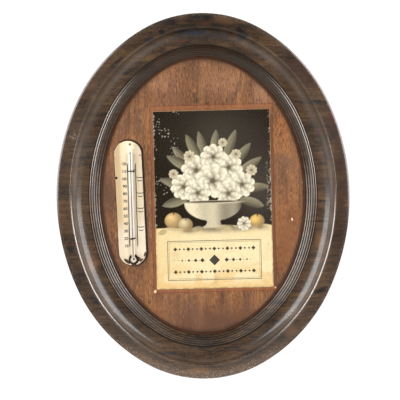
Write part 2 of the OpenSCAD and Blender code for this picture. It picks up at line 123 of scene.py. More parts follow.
for kind, degrees_up, power in (("light", 24, 11.4), ("bounce", -48, 3.5)):
    soft_light(kind + "_left", degrees_up, -1, power)
    soft_light(kind + "_right", degrees_up, 1, power)

# %% [markdown]
# The floor is plain and pale. Its own glow is for the camera alone, so that it looks pale in
# this dim light. Behind the object everything is white, which also lights the outer edge of
# the rim, and towards the camera the surroundings grow dim.

# %% Floor and surroundings
FLOOR_SIZE = 9
FLOOR_Z = -1.15
FLOOR_GLOW = 0.5

bpy.ops.mesh.primitive_plane_add(size=FLOOR_SIZE, location=(0, 0, FLOOR_Z))
floor = bpy.context.object
floor.name = "floor"
pale = bpy.data.materials.new("pale_floor")
pale.use_nodes = True
paint = pale.node_tree.nodes["Principled BSDF"].inputs
paint["Base Color"].default_value = (0.8, 0.8, 0.8, 1)
paint["Roughness"].default_value = 0.8
paint["Emission Color"].default_value = (1, 1, 1, 1)
seen = pale.node_tree.nodes.new("ShaderNodeLightPath").outputs["Is Camera Ray"]
glow = pale.node_tree.nodes.new("ShaderNodeMath")
glow.operation = "MULTIPLY"
glow.inputs[1].default_value = FLOOR_GLOW
pale.node_tree.links.new(seen, glow.inputs[0])
pale.node_tree.links.new(glow.outputs["Value"], paint["Emission Strength"])
floor.data.materials.append(pale)

world = bpy.data.worlds.new("studio")
bpy.context.scene.world = world
world.use_nodes = True
sky = world.node_tree
sky.nodes.clear()


def sky_node(kind, **values):
    """Adds one node to the world and sets its sockets."""
    made = sky.nodes.new("ShaderNode" + kind)
    for key, value in values.items():
        made.inputs[key.replace("_", " ")].default_value = value
    return made


sky_mix = sky_node("MixShader")
sky_lit = sky_node("Background")
sky_seen = sky_node("Background", Color=(1, 1, 1, 1), Strength=1.05)
sky_split = sky_node("SeparateXYZ")
sky_range = sky_node("MapRange", From_Min=-0.1, From_Max=0.25, To_Min=0.16, To_Max=1.0)
for source, result, target, socket in (
    (sky_node("TexCoord"), "Generated", sky_split, "Vector"),
    (sky_split, "Y", sky_range, "Value"),
    (sky_range, "Result", sky_lit, "Strength"),
    (sky_node("LightPath"), "Is Camera Ray", sky_mix, "Fac"),
    (sky_lit, "Background", sky_mix, 1),
    (sky_seen, "Background", sky_mix, 2),
    (sky_mix, "Shader", sky_node("OutputWorld"), "Surface"),
):
    sky.links.new(source.outputs[result], target.inputs[socket])
bpy.context.scene.view_settings.view_transform = "Standard"
print("floor and", len(sky.nodes), "nodes of surroundings")

# %% [markdown]
# Everything below is made with the same few moves, so they are written once here: pick one
# object, enter and leave edit mode, apply a modifier, and stand a piece up. Pieces are drawn
# lying down, with X right, Y up the wall and Z the height in front of it, which is easier to
# think in, and a quarter turn then hangs them on the wall.


# %% Helpers for picking and editing
def deselect():
    """Leaves edit mode and selects nothing."""
    if bpy.context.object and bpy.context.object.mode != "OBJECT":
        leave()
    bpy.ops.object.select_all(action="DESELECT")


def pick_object(obj):
    """Makes one object the selected and active one."""
    deselect()
    obj.select_set(True)
    bpy.context.view_layer.objects.active = obj


def edit(obj, kind="VERT", action="SELECT"):
    """Opens an object in edit mode with all of its points selected, or none."""
    pick_object(obj)
    bpy.ops.object.mode_set(mode="EDIT")
    bpy.ops.mesh.select_mode(type=kind)
    bpy.ops.mesh.select_all(action=action)


def leave():
    """Back to object mode."""
    bpy.ops.object.mode_set(mode="OBJECT")


def edit_some(obj, kind, test):
    """Opens an object in edit mode with only those points or edges selected that pass a test."""
    edit(obj, kind, "DESELECT")
    leave()
    for part in obj.data.vertices if kind == "VERT" else obj.data.edges:
        part.select = test(part)
    bpy.ops.object.mode_set(mode="EDIT")


def settle(obj, matrix=None):
    """Applies an object's place, after a further move if one is given."""
    pick_object(obj)
    if matrix is not None:
        obj.matrix_world = matrix @ obj.matrix_world
    bpy.ops.object.transform_apply(location=True, rotation=True, scale=True)


# %% Helpers for shaping
DOUBLES = 2e-6


def modify(obj, kind, **values):
    """Adds a modifier, sets it and applies it."""
    pick_object(obj)
    modifier = obj.modifiers.new(kind.lower(), kind)
    for key, value in values.items():
        setattr(modifier, key, value)
    bpy.ops.object.modifier_apply(modifier=modifier.name)


def clean(obj, gap=1e-6):
    """Merges doubles and turns all faces outwards."""
    edit(obj)
    bpy.ops.mesh.remove_doubles(threshold=gap)
    bpy.ops.mesh.normals_make_consistent(inside=False)
    leave()


def flip(obj):
    """Turns all faces inside out."""
    edit(obj)
    bpy.ops.mesh.flip_normals()
    leave()


def smooth(obj, angle):
    """Shades round what bends by less than an angle in degrees."""
    pick_object(obj)
    bpy.ops.object.shade_smooth_by_angle(angle=math.radians(angle))


def cut(obj, cutter):
    """Takes one shape out of another and deletes the cutter."""
    modify(obj, "BOOLEAN", operation="DIFFERENCE", solver="EXACT", object=cutter)
    bpy.data.objects.remove(cutter, do_unlink=True)


def join(name, pieces):
    """Joins pieces into the first one and names it."""
    pick_object(pieces[0])
    for piece in pieces:
        piece.select_set(True)
    bpy.ops.object.join()
    pieces[0].name = name
    return pieces[0]


def draw_line(name, points):
    """Draws an open line of edges: one point, then one extrude for each next point."""
    deselect()
    bpy.ops.mesh.primitive_plane_add(size=MM, location=points[0])
    obj = bpy.context.object
    obj.name = name
    edit(obj)
    bpy.ops.mesh.merge(type="CENTER")
    for start, end in zip(points, points[1:]):
        step = Vector(end) - Vector(start)
        bpy.ops.mesh.extrude_vertices_move(TRANSFORM_OT_translate={"value": step})
    leave()
    settle(obj)
    return obj


def spin(centre, degrees, steps, axis=(0, 0, 1)):
    """Spins what is selected in edit mode, counter-clockwise seen from the axis' tip."""
    bpy.ops.mesh.spin(steps=steps, angle=-math.radians(degrees), center=centre, axis=axis)


def cylinder(radius, depth, at, vertices):
    """A cylinder that stands on the wall's plane."""
    deselect()
    bpy.ops.mesh.primitive_cylinder_add(vertices=vertices, radius=radius, depth=depth, location=at)
    return bpy.context.object


def turned(degrees, x=0, y=0):
    """A turn in the wall's plane, followed by a move."""
    return Matrix.Translation((x, y, 0)) @ Matrix.Rotation(math.radians(degrees), 4, "Z")


# %% Helpers for handing a piece over
HANG = Matrix.Rotation(math.radians(90), 4, "X")


def wear(obj, body, slot, finish, *nodes):
    """Hangs a finished piece on the wall, gives it its finish and tells the frame about it."""
    settle(obj, HANG)
    obj.data.materials.clear()
    obj.data.materials.append(finish.material)
    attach(obj, body)
    if nodes:
        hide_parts(*nodes)
    triangles = sum(len(face.vertices) - 2 for face in obj.data.polygons)
    print(obj.name, triangles, "triangles")


def dress(finish, *nodes):
    """Gives CAD nodes that stay their finish."""
    for node in nodes:
        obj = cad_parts[node]
        if not obj.material_slots:
            obj.data.materials.append(finish.material)
        for place in obj.material_slots:
            place.material = finish.material
        print(node, "wears", finish.material.name)


# %% [markdown]
# A finish is a small tree of nodes. The class below only shortens the writing of such trees:
# each call adds a node or a few and gives back the result. Patterns read Object coordinates,
# which on these pieces are plain metres in the frame of the whole object, so a mark can be put
# exactly where the real object has it, and a pattern runs on from one piece to the next.
# Colours are named as the eye sees them on a screen, 0 to 255, and turned into light.


# %% Helpers for finishes
def rgb(*parts):
    """A screen colour turned into light."""
    parts = [part / 255 for part in parts]
    return tuple(p / 12.92 if p <= 0.04045 else ((p + 0.055) / 1.055) ** 2.4 for p in parts)


class Finish:
    """A Principled material that is built up node by node; colour is its paint so far."""

    def __init__(self, name, **sockets):
        self.material = bpy.data.materials.new(name)
        self.material.use_nodes = True
        self.tree = self.material.node_tree
        self.shader = self.tree.nodes["Principled BSDF"]
        self.set(**sockets)
        self.coords = self.add("TexCoord").outputs["Object"]
        self.colour = None

    def add(self, kind, *inputs, **settings):
        """Adds a node, sets its properties and feeds its first sockets."""
        made = self.tree.nodes.new("ShaderNode" + kind)
        for key, value in settings.items():
            setattr(made, key, value)
        for socket, value in zip(made.inputs, inputs):
            self.feed(socket, value)
        return made

    def feed(self, socket, value):
        """Links a result to a socket, or sets a plain value on it."""
        if isinstance(value, bpy.types.NodeSocket):
            self.tree.links.new(value, socket)
        elif isinstance(value, tuple) and len(value) == 3 and len(socket.default_value) == 4:
            socket.default_value = (*value, 1)
        else:
            socket.default_value = value

    def set(self, **sockets):
        """Sets sockets of the shader; an underscore stands for a space."""
        for key, value in sockets.items():
            self.feed(self.shader.inputs[key.replace("_", " ")], value)

    def paint(self, **sockets):
        """Puts the paint made so far on the shader, and sets other sockets."""
        self.set(Base_Color=self.colour, **sockets)
        self.tell("painted")

    def tell(self, state):
        print(self.material.name, state, "with", len(self.tree.nodes), "nodes")

    def math(self, operation, a, b=0.0):
        return self.add("Math", a, b, operation=operation).outputs["Value"]

    def times(self, product, *factors):
        """The product of several values."""
        for factor in factors:
            product = self.math("MULTIPLY", product, factor)
        return product

    def plus(self, a, b):
        return self.math("ADD", a, b)

    def minus(self, a, b):
        return self.math("SUBTRACT", a, b)

    def most(self, best, *values):
        """The highest of several values."""
        for value in values:
            best = self.math("MAXIMUM", best, value)
        return best

    def stretch(self, value, low, high, to_low=0.0, to_high=1.0):
        """Maps a value from one range to another and stops at its ends, with soft shoulders."""
        return self.add("MapRange", value, low, high, to_low, to_high,
                        interpolation_type="SMOOTHSTEP").outputs["Result"]

    def edge(self, value, low, high, to_low=0.0, to_high=1.0):
        """The same for a length, with its range in millimetres."""
        return self.stretch(value, low * MM, high * MM, to_low, to_high)

    def band(self, value, start, full, last, end):
        """1 where a length lies from full to last, 0 before start and after end, in millimetres."""
        return self.times(self.edge(value, start, full), self.edge(value, end, last))

    def split(self, vector):
        """The x, y and z of a vector."""
        return self.add("SeparateXYZ", vector).outputs[:3]

    def place(self, scale=(1, 1, 1), at=(0, 0), turn=0.0):
        """Object coordinates measured from a point, turned in the wall's plane and scaled."""
        moved = self.add("Mapping", self.coords, (at[0], 0, at[1]), (0, -math.radians(turn), 0),
                         vector_type="TEXTURE")
        return self.add("VectorMath", moved.outputs[0], scale, operation="MULTIPLY").outputs[0]

    def grain(self, scale, detail=3.0, rough=0.5, warp=0.0):
        """Noise with so many cells a metre along X, Y and Z, or along all three."""
        scale = scale if isinstance(scale, tuple) else (scale, scale, scale)
        made = self.add("TexNoise", self.place(scale))
        for key, value in (("Scale", 1.0), ("Detail", detail), ("Roughness", rough), ("Distortion", warp)):
            self.feed(made.inputs[key], value)
        return made.outputs["Fac"]

    def blob(self, at, size, turn=0.0, soft=0.6):
        """1 inside an ellipse on the wall's plane, falling to 0 at its edge."""
        near = self.place((1 / size[0], 0, 1 / size[1]), at, turn)
        far = self.add("VectorMath", near, operation="LENGTH").outputs["Value"]
        return self.stretch(far, 1.0, 1.0 - soft)

    def spots(self, *rows, soft=0.8, unit=MM):
        """The strongest of some blobs: pixels right and down, half width and height, turn, softness."""
        full_rows = [row + (0, soft)[len(row) - 4:] for row in rows]
        return self.most(*(self.blob(spot(right, down), (wide * unit, high * unit), turn, own)
                           for right, down, wide, high, turn, own in full_rows))

    def box(self, at, size, turn=0.0, soft=0.2 * MM):
        """1 inside a rectangle on the wall's plane."""
        x, _, z = self.split(self.place(at=at, turn=turn))
        near = [self.stretch(self.math("ABSOLUTE", way), length / 2 + soft, length / 2 - soft)
                for way, length in ((x, size[0]), (z, size[1]))]
        return self.times(*near)

    def mix(self, amount, first, second, way="MIX"):
        made = self.add("Mix", amount, data_type="RGBA", blend_type=way)
        self.feed(made.inputs[6], first)
        self.feed(made.inputs[7], second)
        return made.outputs[2]

    def wash(self, mask, strength, *tint, way="MIX"):
        """Lays a screen colour over the paint where a mask says so."""
        self.colour = self.mix(self.times(mask, strength), self.colour, rgb(*tint), way)

    def ramp(self, value, *stops):
        """Paints by a value: each stop is a position and a screen colour."""
        made = self.add("ValToRGB", value)
        elements = made.color_ramp.elements
        while len(elements) < len(stops):
            elements.new(0.5)
        for element, (position, *tint) in zip(elements, stops):
            element.position = position
            element.color = (*rgb(*tint), 1)
        self.colour = made.outputs["Color"]

    def bump(self, height, depth, strength=1.0):
        """Relief, its depth in millimetres."""
        made = self.add("Bump")
        for key, value in (("Height", height), ("Distance", depth * MM), ("Strength", strength)):
            self.feed(made.inputs[key], value)
        self.set(Normal=made.outputs["Normal"])


def one_noise(name, scale, detail, rough, stops, shine=None, relief=None, **sockets):
    """A finish whose colour, roughness and relief all follow one noise."""
    made = Finish(name, **sockets)
    pattern = made.grain(scale, detail, rough)
    made.ramp(pattern, *stops)
    made.paint()
    if shine:
        made.set(Roughness=made.stretch(pattern, *shine))
    if relief:
        made.bump(pattern, *relief)
    return made


# %% [markdown]
# The frame is one sheet of tin, pressed into a moulding that runs round an oval. Its section is
# drawn once as a line, from the flange on the wall out to the skirt, over the ridge bead, down
# the cove and over five reeds to the hem. Eight spins then carry it round: the oval is made of
# eight arcs that pass smoothly into each other, so the moulding keeps its width all the way,
# which a scaled circle would not do. Solidify gives the sheet its half millimetre.

# %% Outline of the frame
HALF_W = 135 * MM
HALF_H = 168.5 * MM
SIDE_END = 25
CROWN_START = 60


def oval_arcs():
    """Centre, radius, start direction and span of the eight arcs, in metres and degrees."""
    side_x, side_y = math.cos(math.radians(SIDE_END)), math.sin(math.radians(SIDE_END))
    crown_x, crown_y = math.cos(math.radians(CROWN_START)), math.sin(math.radians(CROWN_START))
    shoulder = math.sqrt(HALF_W * HALF_H)
    one, two, three, four = 1 - side_x, crown_x, side_y, 1 - crown_y
    reach_x = HALF_W - shoulder * (side_x - crown_x)
    reach_y = HALF_H - shoulder * (crown_y - side_y)
    whole = one * four - two * three
    side_r = (reach_x * four - two * reach_y) / whole
    crown_r = (one * reach_y - three * reach_x) / whole
    sx = HALF_W - side_r
    hx = sx + (side_r - shoulder) * side_x
    hy = (side_r - shoulder) * side_y
    cy = HALF_H - crown_r
    span = CROWN_START - SIDE_END
    crown = 180 - 2 * CROWN_START
    return [
        (sx, 0, side_r, -SIDE_END, 2 * SIDE_END),
        (hx, hy, shoulder, SIDE_END, span),
        (0, cy, crown_r, CROWN_START, crown),
        (-hx, hy, shoulder, 180 - CROWN_START, span),
        (-sx, 0, side_r, 180 - SIDE_END, 2 * SIDE_END),
        (-hx, -hy, shoulder, 180 + SIDE_END, span),
        (0, -cy, crown_r, 180 + CROWN_START, crown),
        (hx, -hy, shoulder, 360 - CROWN_START, span),
    ]


ARCS = oval_arcs()
print("radii:", [round(arc[2] * 1000, 1) for arc in ARCS[:3]], "mm")

# %% Section of the moulding, in millimetres
FLANGE_W = 7
SHEET = 0.5
BACK_BEND_R = 1.2
SKIRT_START = 6
EDGE_R = 1.6
BAND_SLOPE = 40
BAND_BULGE = 0.3
RIDGE_INSET = 13.4
RIDGE_R = 1.4
RIDGE_H = 21.6
RIDGE_END = 20
COVE_W = 15
COVE_FOOT = 12.6
REED_PITCH = 2.1
REED_COUNT = 5
REED_H = 0.35
LIP_RISE = 2.0
LIP_DROP = 1.0
HEM_W = 2.2
HEM_R = 0.7
FACE_H = 10.6


def arc(x, y, radius, start, end, steps):
    """Points on an arc of a section, in the unit of its radius."""
    angles = [math.radians(start + (end - start) * i / steps) for i in range(steps + 1)]
    return [(x + radius * math.cos(a), y + radius * math.sin(a)) for a in angles]


def section_line():
    """Inset from the outline and height of each point of the moulding, and its width."""
    normal = 90 + BAND_SLOPE
    slope = math.radians(BAND_SLOPE)
    ridge_x, ridge_y = arc(RIDGE_INSET, RIDGE_H, RIDGE_R, normal, normal, 1)[0]
    band_x = EDGE_R + EDGE_R * math.cos(math.radians(normal))
    run = ridge_x - band_x
    band_y = ridge_y - run * math.tan(slope)
    skirt = band_y - EDGE_R * math.sin(math.radians(normal))
    points = [(FLANGE_W, 0), (4, 0)] + arc(BACK_BEND_R, BACK_BEND_R, BACK_BEND_R, 270, 180, 5)
    points += [(0, SKIRT_START)] + arc(EDGE_R, skirt, EDGE_R, 180, normal, 7)
    for share in (i / 10 for i in range(1, 10)):
        bulge = BAND_BULGE * math.sin(math.pi * share)
        points.append((band_x + run * share - bulge * math.sin(slope),
                       band_y + (ridge_y - band_y) * share + bulge * math.cos(slope)))
    points += arc(RIDGE_INSET, RIDGE_H, RIDGE_R, normal, RIDGE_END, 12)
    cove_x, cove_y = points[-1]
    reed_x = cove_x + COVE_W
    for a in (math.radians(90 - 90 * i / 20) for i in range(1, 21)):
        points.append((reed_x - COVE_W * math.sin(a),
                       COVE_FOOT + (cove_y - COVE_FOOT) * (1 - math.cos(a))))
    reeds_w = REED_COUNT * REED_PITCH
    steps = REED_COUNT * 8
    for share in (i / steps for i in range(1, steps + 1)):
        crown = COVE_FOOT + 4 * LIP_RISE * share * (1 - share) - LIP_DROP * share
        ripple = REED_H * abs(math.sin(math.pi * REED_COUNT * share))
        points.append((reed_x + reeds_w * share, crown + ripple))
    width = reed_x + reeds_w + HEM_W
    points += arc(width - HEM_R, COVE_FOOT - LIP_DROP - HEM_R, HEM_R, 90, 0, 5)
    points.append((width, FACE_H + 0.05))
    return points, width


section, MOULDING_W = section_line()
print("section:", len(section), "points,", round(MOULDING_W, 2), "mm wide")

# %% Spin the section round the oval
SPIN_STEP = 4.2 * MM
SPIN_GAP = 5e-6

x, y, radius, begin, span = ARCS[0]
along = Vector((math.cos(math.radians(begin)), math.sin(math.radians(begin)), 0))
line = [Vector((x, y, 0)) + along * (radius - inward * MM) + Vector((0, 0, rise * MM))
        for inward, rise in section]
moulding = draw_line("oval_frame", line)
edit(moulding)
for x, y, radius, begin, span in ARCS:
    spin((x, y, 0), span, max(4, round(math.radians(span) * radius / SPIN_STEP)))
leave()
clean(moulding, SPIN_GAP)
top = max(moulding.data.polygons, key=lambda face: face.center.z)
if top.normal.z < 0:
    flip(moulding)
face_side = len(moulding.data.polygons)
modify(moulding, "SOLIDIFY", thickness=SHEET * MM, offset=-1.0, use_even_offset=True)
smooth(moulding, 40)
print("moulding", [round(1000 * size, 2) for size in moulding.dimensions], "mm")

# %% [markdown]
# Grime lies in the grooves and wear shows on the ridge, all the way round. Both follow the
# moulding, not the wall, so every point of the mesh is told how far in from the outline it lies.


# %% Distance from the outline
def corners(obj):
    """The points of a mesh as rows of x, y and z."""
    flat = np.zeros(3 * len(obj.data.vertices))
    obj.data.vertices.foreach_get("co", flat)
    return flat.reshape(-1, 3)


UNPLACED = 5 * MM
points = corners(moulding)
depth = np.full(len(points), UNPLACED)
for x, y, radius, begin, span in ARCS:
    angle = np.degrees(np.arctan2(points[:, 1] - y, points[:, 0] - x))
    inside = (angle - begin + 1e-4) % 360 <= span + 2e-4
    depth[inside] = radius - np.hypot(points[inside, 0] - x, points[inside, 1] - y)
layer = moulding.data.attributes.new("inset", "FLOAT", "POINT")
layer.data.foreach_set("value", depth.astype(np.float32))
print("insets run to", round(float(depth.max()) * 1000, 2), "mm")

# %% [markdown]
# The tin is printed to look like wood. Grain of three sizes gives the tone, clots and flecks
# roughen it, and then the marks that the picture shows are laid on it one tint at a time. A row
# holds a strength, a tint and its soft ellipses: pixels right and down, half width and height,
# and a turn in degrees.

# %% Finish of the frame: the printed wood and its marks
tin = Finish("printed_wood_on_tin", Coat_Roughness=0.15, Specular_IOR_Level=0.36)
inset = tin.add("Attribute", attribute_name="inset").outputs["Fac"]
from_middle, _, height = tin.split(tin.coords)
sideways = tin.math("ABSOLUTE", from_middle)
upper_half = tin.edge(height, 30, 85)
lower_half = tin.minus(1.0, upper_half)
fine_grain = tin.grain((120, 0, 1300), 3, 0.65)
flecks = tin.grain((620, 620, 820), 3, 0.75)
clots = tin.grain((34, 34, 60), 5, 0.65, 1.0)
tone = tin.plus(tin.times(tin.grain((15, 0, 330), 5, 0.65, 0.5), 0.34),
                tin.times(tin.grain((13, 0, 26), 5, 0.65, 1.8), 0.46))
tin.ramp(tin.plus(tone, tin.times(fine_grain, 0.30)),
         (0.43, 22, 17, 13), (0.51, 55, 40, 26), (0.58, 82, 60, 38), (0.69, 112, 83, 52))
tin.wash(tin.stretch(clots, 0.56, 0.68), 0.6, 24, 19, 16)
tin.wash(tin.stretch(flecks, 0.54, 0.68), 0.55, 126, 80, 48)
tin.wash(tin.stretch(flecks, 0.47, 0.34), 0.6, 16, 12, 10)
patchy = tin.stretch(tin.grain((150, 150, 220), 4, 0.65), 0.30, 0.52, 0.35, 1.0)
for strength, tint, *places in (
    (0.85, (120, 84, 52), (199, 370, 20, 5, 3), (223, 21, 13, 6, -10), (159, 62, 10, 4, 24),
     (92, 265, 10, 14), (320, 240, 8, 14), (290, 330, 10, 10)),
    (0.75, (18, 15, 14), (205, 32, 52, 24), (328, 190, 6, 20)),
    (0.7, (56, 31, 15), (338, 185, 15, 100), (300, 75, 30, 34, 30)),
    (0.45, (26, 19, 14), (125, 330, 40, 22, -40), (275, 335, 44, 18, 35)),
    (0.7, (84, 46, 30), (205, 25, 8, 3), (331, 120, 5, 14), (182, 41, 9, 2, 8), (322, 132, 10, 5)),
    (0.95, (24, 30, 42), (193, 33, 20, 3.6, -3), (327, 155, 5, 11), (243, 38, 9, 5, 30),
     (168, 353, 14, 3, -8), (254, 350, 11, 3, 10), (150, 40, 9, 4, 30)),
    (0.95, (14, 13, 14), (170, 23, 9, 4.5, 18), (162, 33, 5, 5), (195, 17, 11, 4, 6), (207, 17, 9, 5),
     (241, 30, 9, 8, -20), (117, 63, 14, 2.4, 35), (128, 72, 8, 3, 30), (80, 147, 20, 1.4),
     (80, 158, 20, 2.2), (72, 250, 9, 5, -20), (320, 201, 22, 1.5), (322, 221, 20, 1.3),
     (312, 102, 24, 3), (250, 352, 20, 1.2, 12), (96, 300, 10, 5, -30), (320, 290, 12, 4, 20)),
):
    tin.wash(tin.times(tin.spots(*places, unit=PIXEL), patchy), strength, *tint)
tin.tell("marked")

# %% [markdown]
# The reeds get painted shade and grime in their grooves and painted highlights on their crests,
# but only at the sides of the oval, and high up only the two outermost do; the inner ones there
# get painted shade. A painted shadow lines the seam between cove and reeds at the top and bottom,
# painted shade darkens the reeds at the top, and rust-brown dirt with painted shade sits in the hem.

# %% Finish of the frame: reeds and hem
REED_START = MOULDING_W - HEM_W - REED_COUNT * REED_PITCH
at_reed = tin.math("DIVIDE", tin.minus(inset, REED_START * MM), REED_PITCH * MM)
wave = tin.math("ABSOLUTE", tin.math("SINE", tin.times(at_reed, math.pi)))
on_reeds = tin.times(tin.stretch(at_reed, -0.25, 0.0),
                     tin.stretch(at_reed, REED_COUNT + 1.6, REED_COUNT + 1.0))
# Painted shade and grime darken the grooves.
groove_shade_and_grime = tin.times(tin.stretch(wave, 0.72, 0.25), on_reeds)
tin.wash(groove_shade_and_grime, 0.95, 10, 8, 7)
high_up = tin.edge(height, 5, 45)
# Painted shade on the inner reeds high up; it also takes their painted highlights away.
shaded_inner_reeds = tin.times(on_reeds, high_up, tin.stretch(at_reed, 1.92, 2.12))
# Painted highlights on the crests at the sides, brighter on the two outer reeds high up.
crest_highlights = tin.times(tin.stretch(wave, 0.84, 0.97), on_reeds, tin.edge(sideways, 56, 84),
                   tin.stretch(shaded_inner_reeds, 0.0, 1.0, 1.0, 0.15))
tin.wash(tin.times(crest_highlights, tin.stretch(clots, 0.36, 0.52, 0.45, 1.0)), 0.62, 176, 164, 154)
tin.wash(tin.times(crest_highlights, high_up, tin.stretch(at_reed, 2.1, 1.9)), 0.45, 216, 204, 194)
tin.wash(shaded_inner_reeds, 0.35, 52, 40, 30)
# Painted shadow along the seam at the top and bottom.
seam_shadow = tin.band(inset, REED_START - 2.2, REED_START, REED_START + 0.2, REED_START + 0.9)
tin.wash(tin.times(seam_shadow, tin.edge(tin.math("ABSOLUTE", height), 80, 130)), 0.85, 13, 11, 11)
# Painted shade on the reeds at the top.
reed_top_shade = tin.times(on_reeds, tin.edge(height, 70, 120))
tin.wash(reed_top_shade, 0.75, 38, 23, 9)
# Rust-brown dirt and painted shade in the hem.
hem_dirt_and_shade = tin.edge(inset, MOULDING_W - 2.6, MOULDING_W - 1.2)
tin.wash(hem_dirt_and_shade, 0.95, 66, 32, 8)
tin.tell("reeded")

# %% [markdown]
# The ridge in the lower half gets painted highlights: lighter brown flecks and a thin bright line.
# Beside it lies a painted grey reflection, a haze that leaves out the crown, and the outer rim
# has a painted highlight at the sides and is worn and chipped below.

# %% Finish of the frame: painted highlights on ridge, cove and rim, and wear
on_ridge = tin.band(inset, 12.0, 13.2, 14.2, 15.2)
# Painted highlight: lighter brown flecks on the ridge in the lower half.
tin.wash(tin.times(on_ridge, lower_half, tin.stretch(flecks, 0.44, 0.62)), 0.3, 132, 104, 78)
# Painted reflections: a grey haze beside the ridge, left out at the crown.
crown = tin.blob((2 * MM, 150 * MM), (76 * MM, 60 * MM), soft=0.7)
uneven = tin.times(tin.minus(1.0, crown), tin.stretch(clots, 0.25, 0.6, 1.0, 0.6))
low_painted_reflection = tin.times(tin.band(inset, 13.4, 15.6, 16.6, 20.0), lower_half, uneven)
tin.wash(tin.times(low_painted_reflection, tin.edge(height, -142, -105, 0.35, 1.0)), 0.75, 146, 130, 119)
high_painted_reflection = tin.times(tin.band(inset, 12.9, 13.9, 18.5, 23.0), upper_half, uneven)
tin.wash(high_painted_reflection, 0.7, 98, 84, 70)
# Painted highlight: a thin bright line on the ridge in the lower half.
ridge_highlight = tin.times(tin.band(height, -140, -90, -30, 10), tin.stretch(flecks, 0.30, 0.48))
tin.wash(tin.times(tin.band(inset, 13.3, 13.7, 14.3, 14.7), ridge_highlight), 0.9, 228, 220, 214)
# Painted highlight on the outer rim at the sides.
rim_highlight = tin.times(tin.edge(inset, 2, 1), tin.edge(sideways, 62, 96), tin.edge(height, -30, 10))
tin.wash(rim_highlight, 0.75, 196, 184, 184)
low_rim = tin.times(tin.edge(height, -120, -160), tin.edge(inset, 12, 3))
tin.wash(low_rim, 0.34, 146, 116, 92)
tin.wash(tin.times(low_rim, tin.stretch(flecks, 0.58, 0.66)), 0.5, 186, 160, 134)
chipped = tin.most(low_rim, tin.times(tin.edge(inset, 4.0, 0.8), 0.6),
                   tin.spots((268, 357, 9, 4, 20), (289, 314, 9, 9), (74, 137, 6, 7), unit=PIXEL))
bare = tin.times(chipped, tin.stretch(tin.grain(1000, 2, 0.7), 0.60, 0.66))
tin.wash(bare, 1, 206, 196, 182)
tin.tell("worn")

# %% [markdown]
# The varnish is glossy where it is clean. Dirt, the painted shade and the painted haze take its
# gloss away. The inner side of the sheet, which Solidify made after the face side, is bare tin
# with rust.

# %% Finish of the frame: varnish and the bare inner side
less_gloss = tin.most(groove_shade_and_grime, hem_dirt_and_shade, tin.times(tin.edge(inset, 29, 26), upper_half, 0.88),
                 tin.edge(inset, 12.4, 11.0, 0.0, 0.6),
                 tin.times(reed_top_shade, tin.edge(sideways, 70, 40, 0.0, 0.8)), tin.times(shaded_inner_reeds, 0.85))
tin.paint(Roughness=tin.plus(tin.stretch(clots, 0.3, 0.7, 0.30, 0.5), tin.times(on_ridge, upper_half, 0.35)),
          Coat_Weight=tin.stretch(less_gloss, 0.0, 1.0, 0.95, 0.04))
tin.bump(tin.plus(tin.times(fine_grain, 0.5), tin.minus(tin.times(flecks, 0.3), bare)), 0.06, 0.5)
wear(moulding, "frame", "frame_finish", tin, "frame_shell")

raw = Finish("bare_tin_inside", Metallic=0.6)
rust = raw.grain(300, 4, 0.7)
raw.ramp(raw.grain(50, 5, 0.65, 0.6), (0.35, 92, 86, 80), (0.65, 140, 134, 126))
raw.wash(raw.stretch(rust, 0.54, 0.66), 0.8, 104, 62, 38)
raw.paint(Roughness=raw.stretch(rust, 0.3, 0.7, 0.45, 0.8))
raw.bump(rust, 0.06, 0.5)
moulding.data.materials.append(raw.material)
for index, face in enumerate(moulding.data.polygons):
    face.material_index = int(face_side <= index < 2 * face_side)

# %% [markdown]
# The panel is a sheet of brown veneer with its grain running up and down. Fine dark pores,
# broad purple-brown figure and warm orange areas sit on each other, so the finish adds noise
# that is stretched along the grain at three sizes, and then places the marks one by one.
# The flat sheet itself is right as it is in the solid model, so only its finish is new.

# %% Places of the card and the plate
CARD_AT = (9.216 * MM, -3.3 * MM)
CARD_TURN = 0.7
BORDER_AT = (9.216 * MM, -2.3 * MM)
BORDER_SIZE = (112.2 * MM, 171.5 * MM)
BORDER_EDGE = 1.2 * MM
PLATE_W = 25.4 * MM
PLATE_L = 115.5 * MM
PLATE_AT = (-67.084 * MM, -6 * MM)
PLATE_LEAN = 2.2


def plate_radial(finish, shift=(0, 0)):
    """Distance from the line down the middle of the round-ended plate, and x and z on the plate."""
    middle = (PLATE_AT[0] + shift[0], PLATE_AT[1] + shift[1])
    x, _, z = finish.split(finish.place(at=middle, turn=PLATE_LEAN))
    beyond = finish.most(finish.minus(finish.math("ABSOLUTE", z), (PLATE_L - PLATE_W) / 2), 0.0)
    squares = finish.plus(finish.math("POWER", x, 2.0), finish.math("POWER", beyond, 2.0))
    return finish.math("SQRT", squares), x, z


# %% Finish of the veneer: grain and broad marks
veneer = Finish("brown_veneer", Roughness=0.55, Specular_IOR_Level=0.25)
pores = veneer.grain((1250, 0, 210), 3, 0.75)
streaks = veneer.grain((330, 0, 24), 4, 0.65, 0.5)
figure = veneer.grain((45, 0, 9), 3, 0.6, 1.5)
veneer.ramp(veneer.plus(veneer.times(streaks, 0.45), veneer.times(figure, 0.55)),
            (0.38, 70, 46, 33), (0.47, 112, 75, 49), (0.54, 139, 94, 60), (0.63, 168, 116, 71))
orange = veneer.spots((127, 95, 4, 26), (284, 135, 17, 28, 0, 0.7), (286, 235, 20, 60),
                      (214, 308, 8, 20), (236, 312, 7, 24), (157, 315, 18, 16, -40))
veneer.wash(orange, 0.45, 170, 104, 54)
pinkish = veneer.spots((222, 82, 34, 22), (262, 92, 16, 16), (160, 84, 20, 12), soft=1.0)
veneer.wash(pinkish, 0.5, 178, 128, 98)
veneer.wash(veneer.spots((262, 96, 16, 22), soft=1.0), 0.4, 190, 140, 106)
wavy = veneer.math("SINE", veneer.times(veneer.plus(figure, veneer.times(streaks, 0.35)), 46.0))
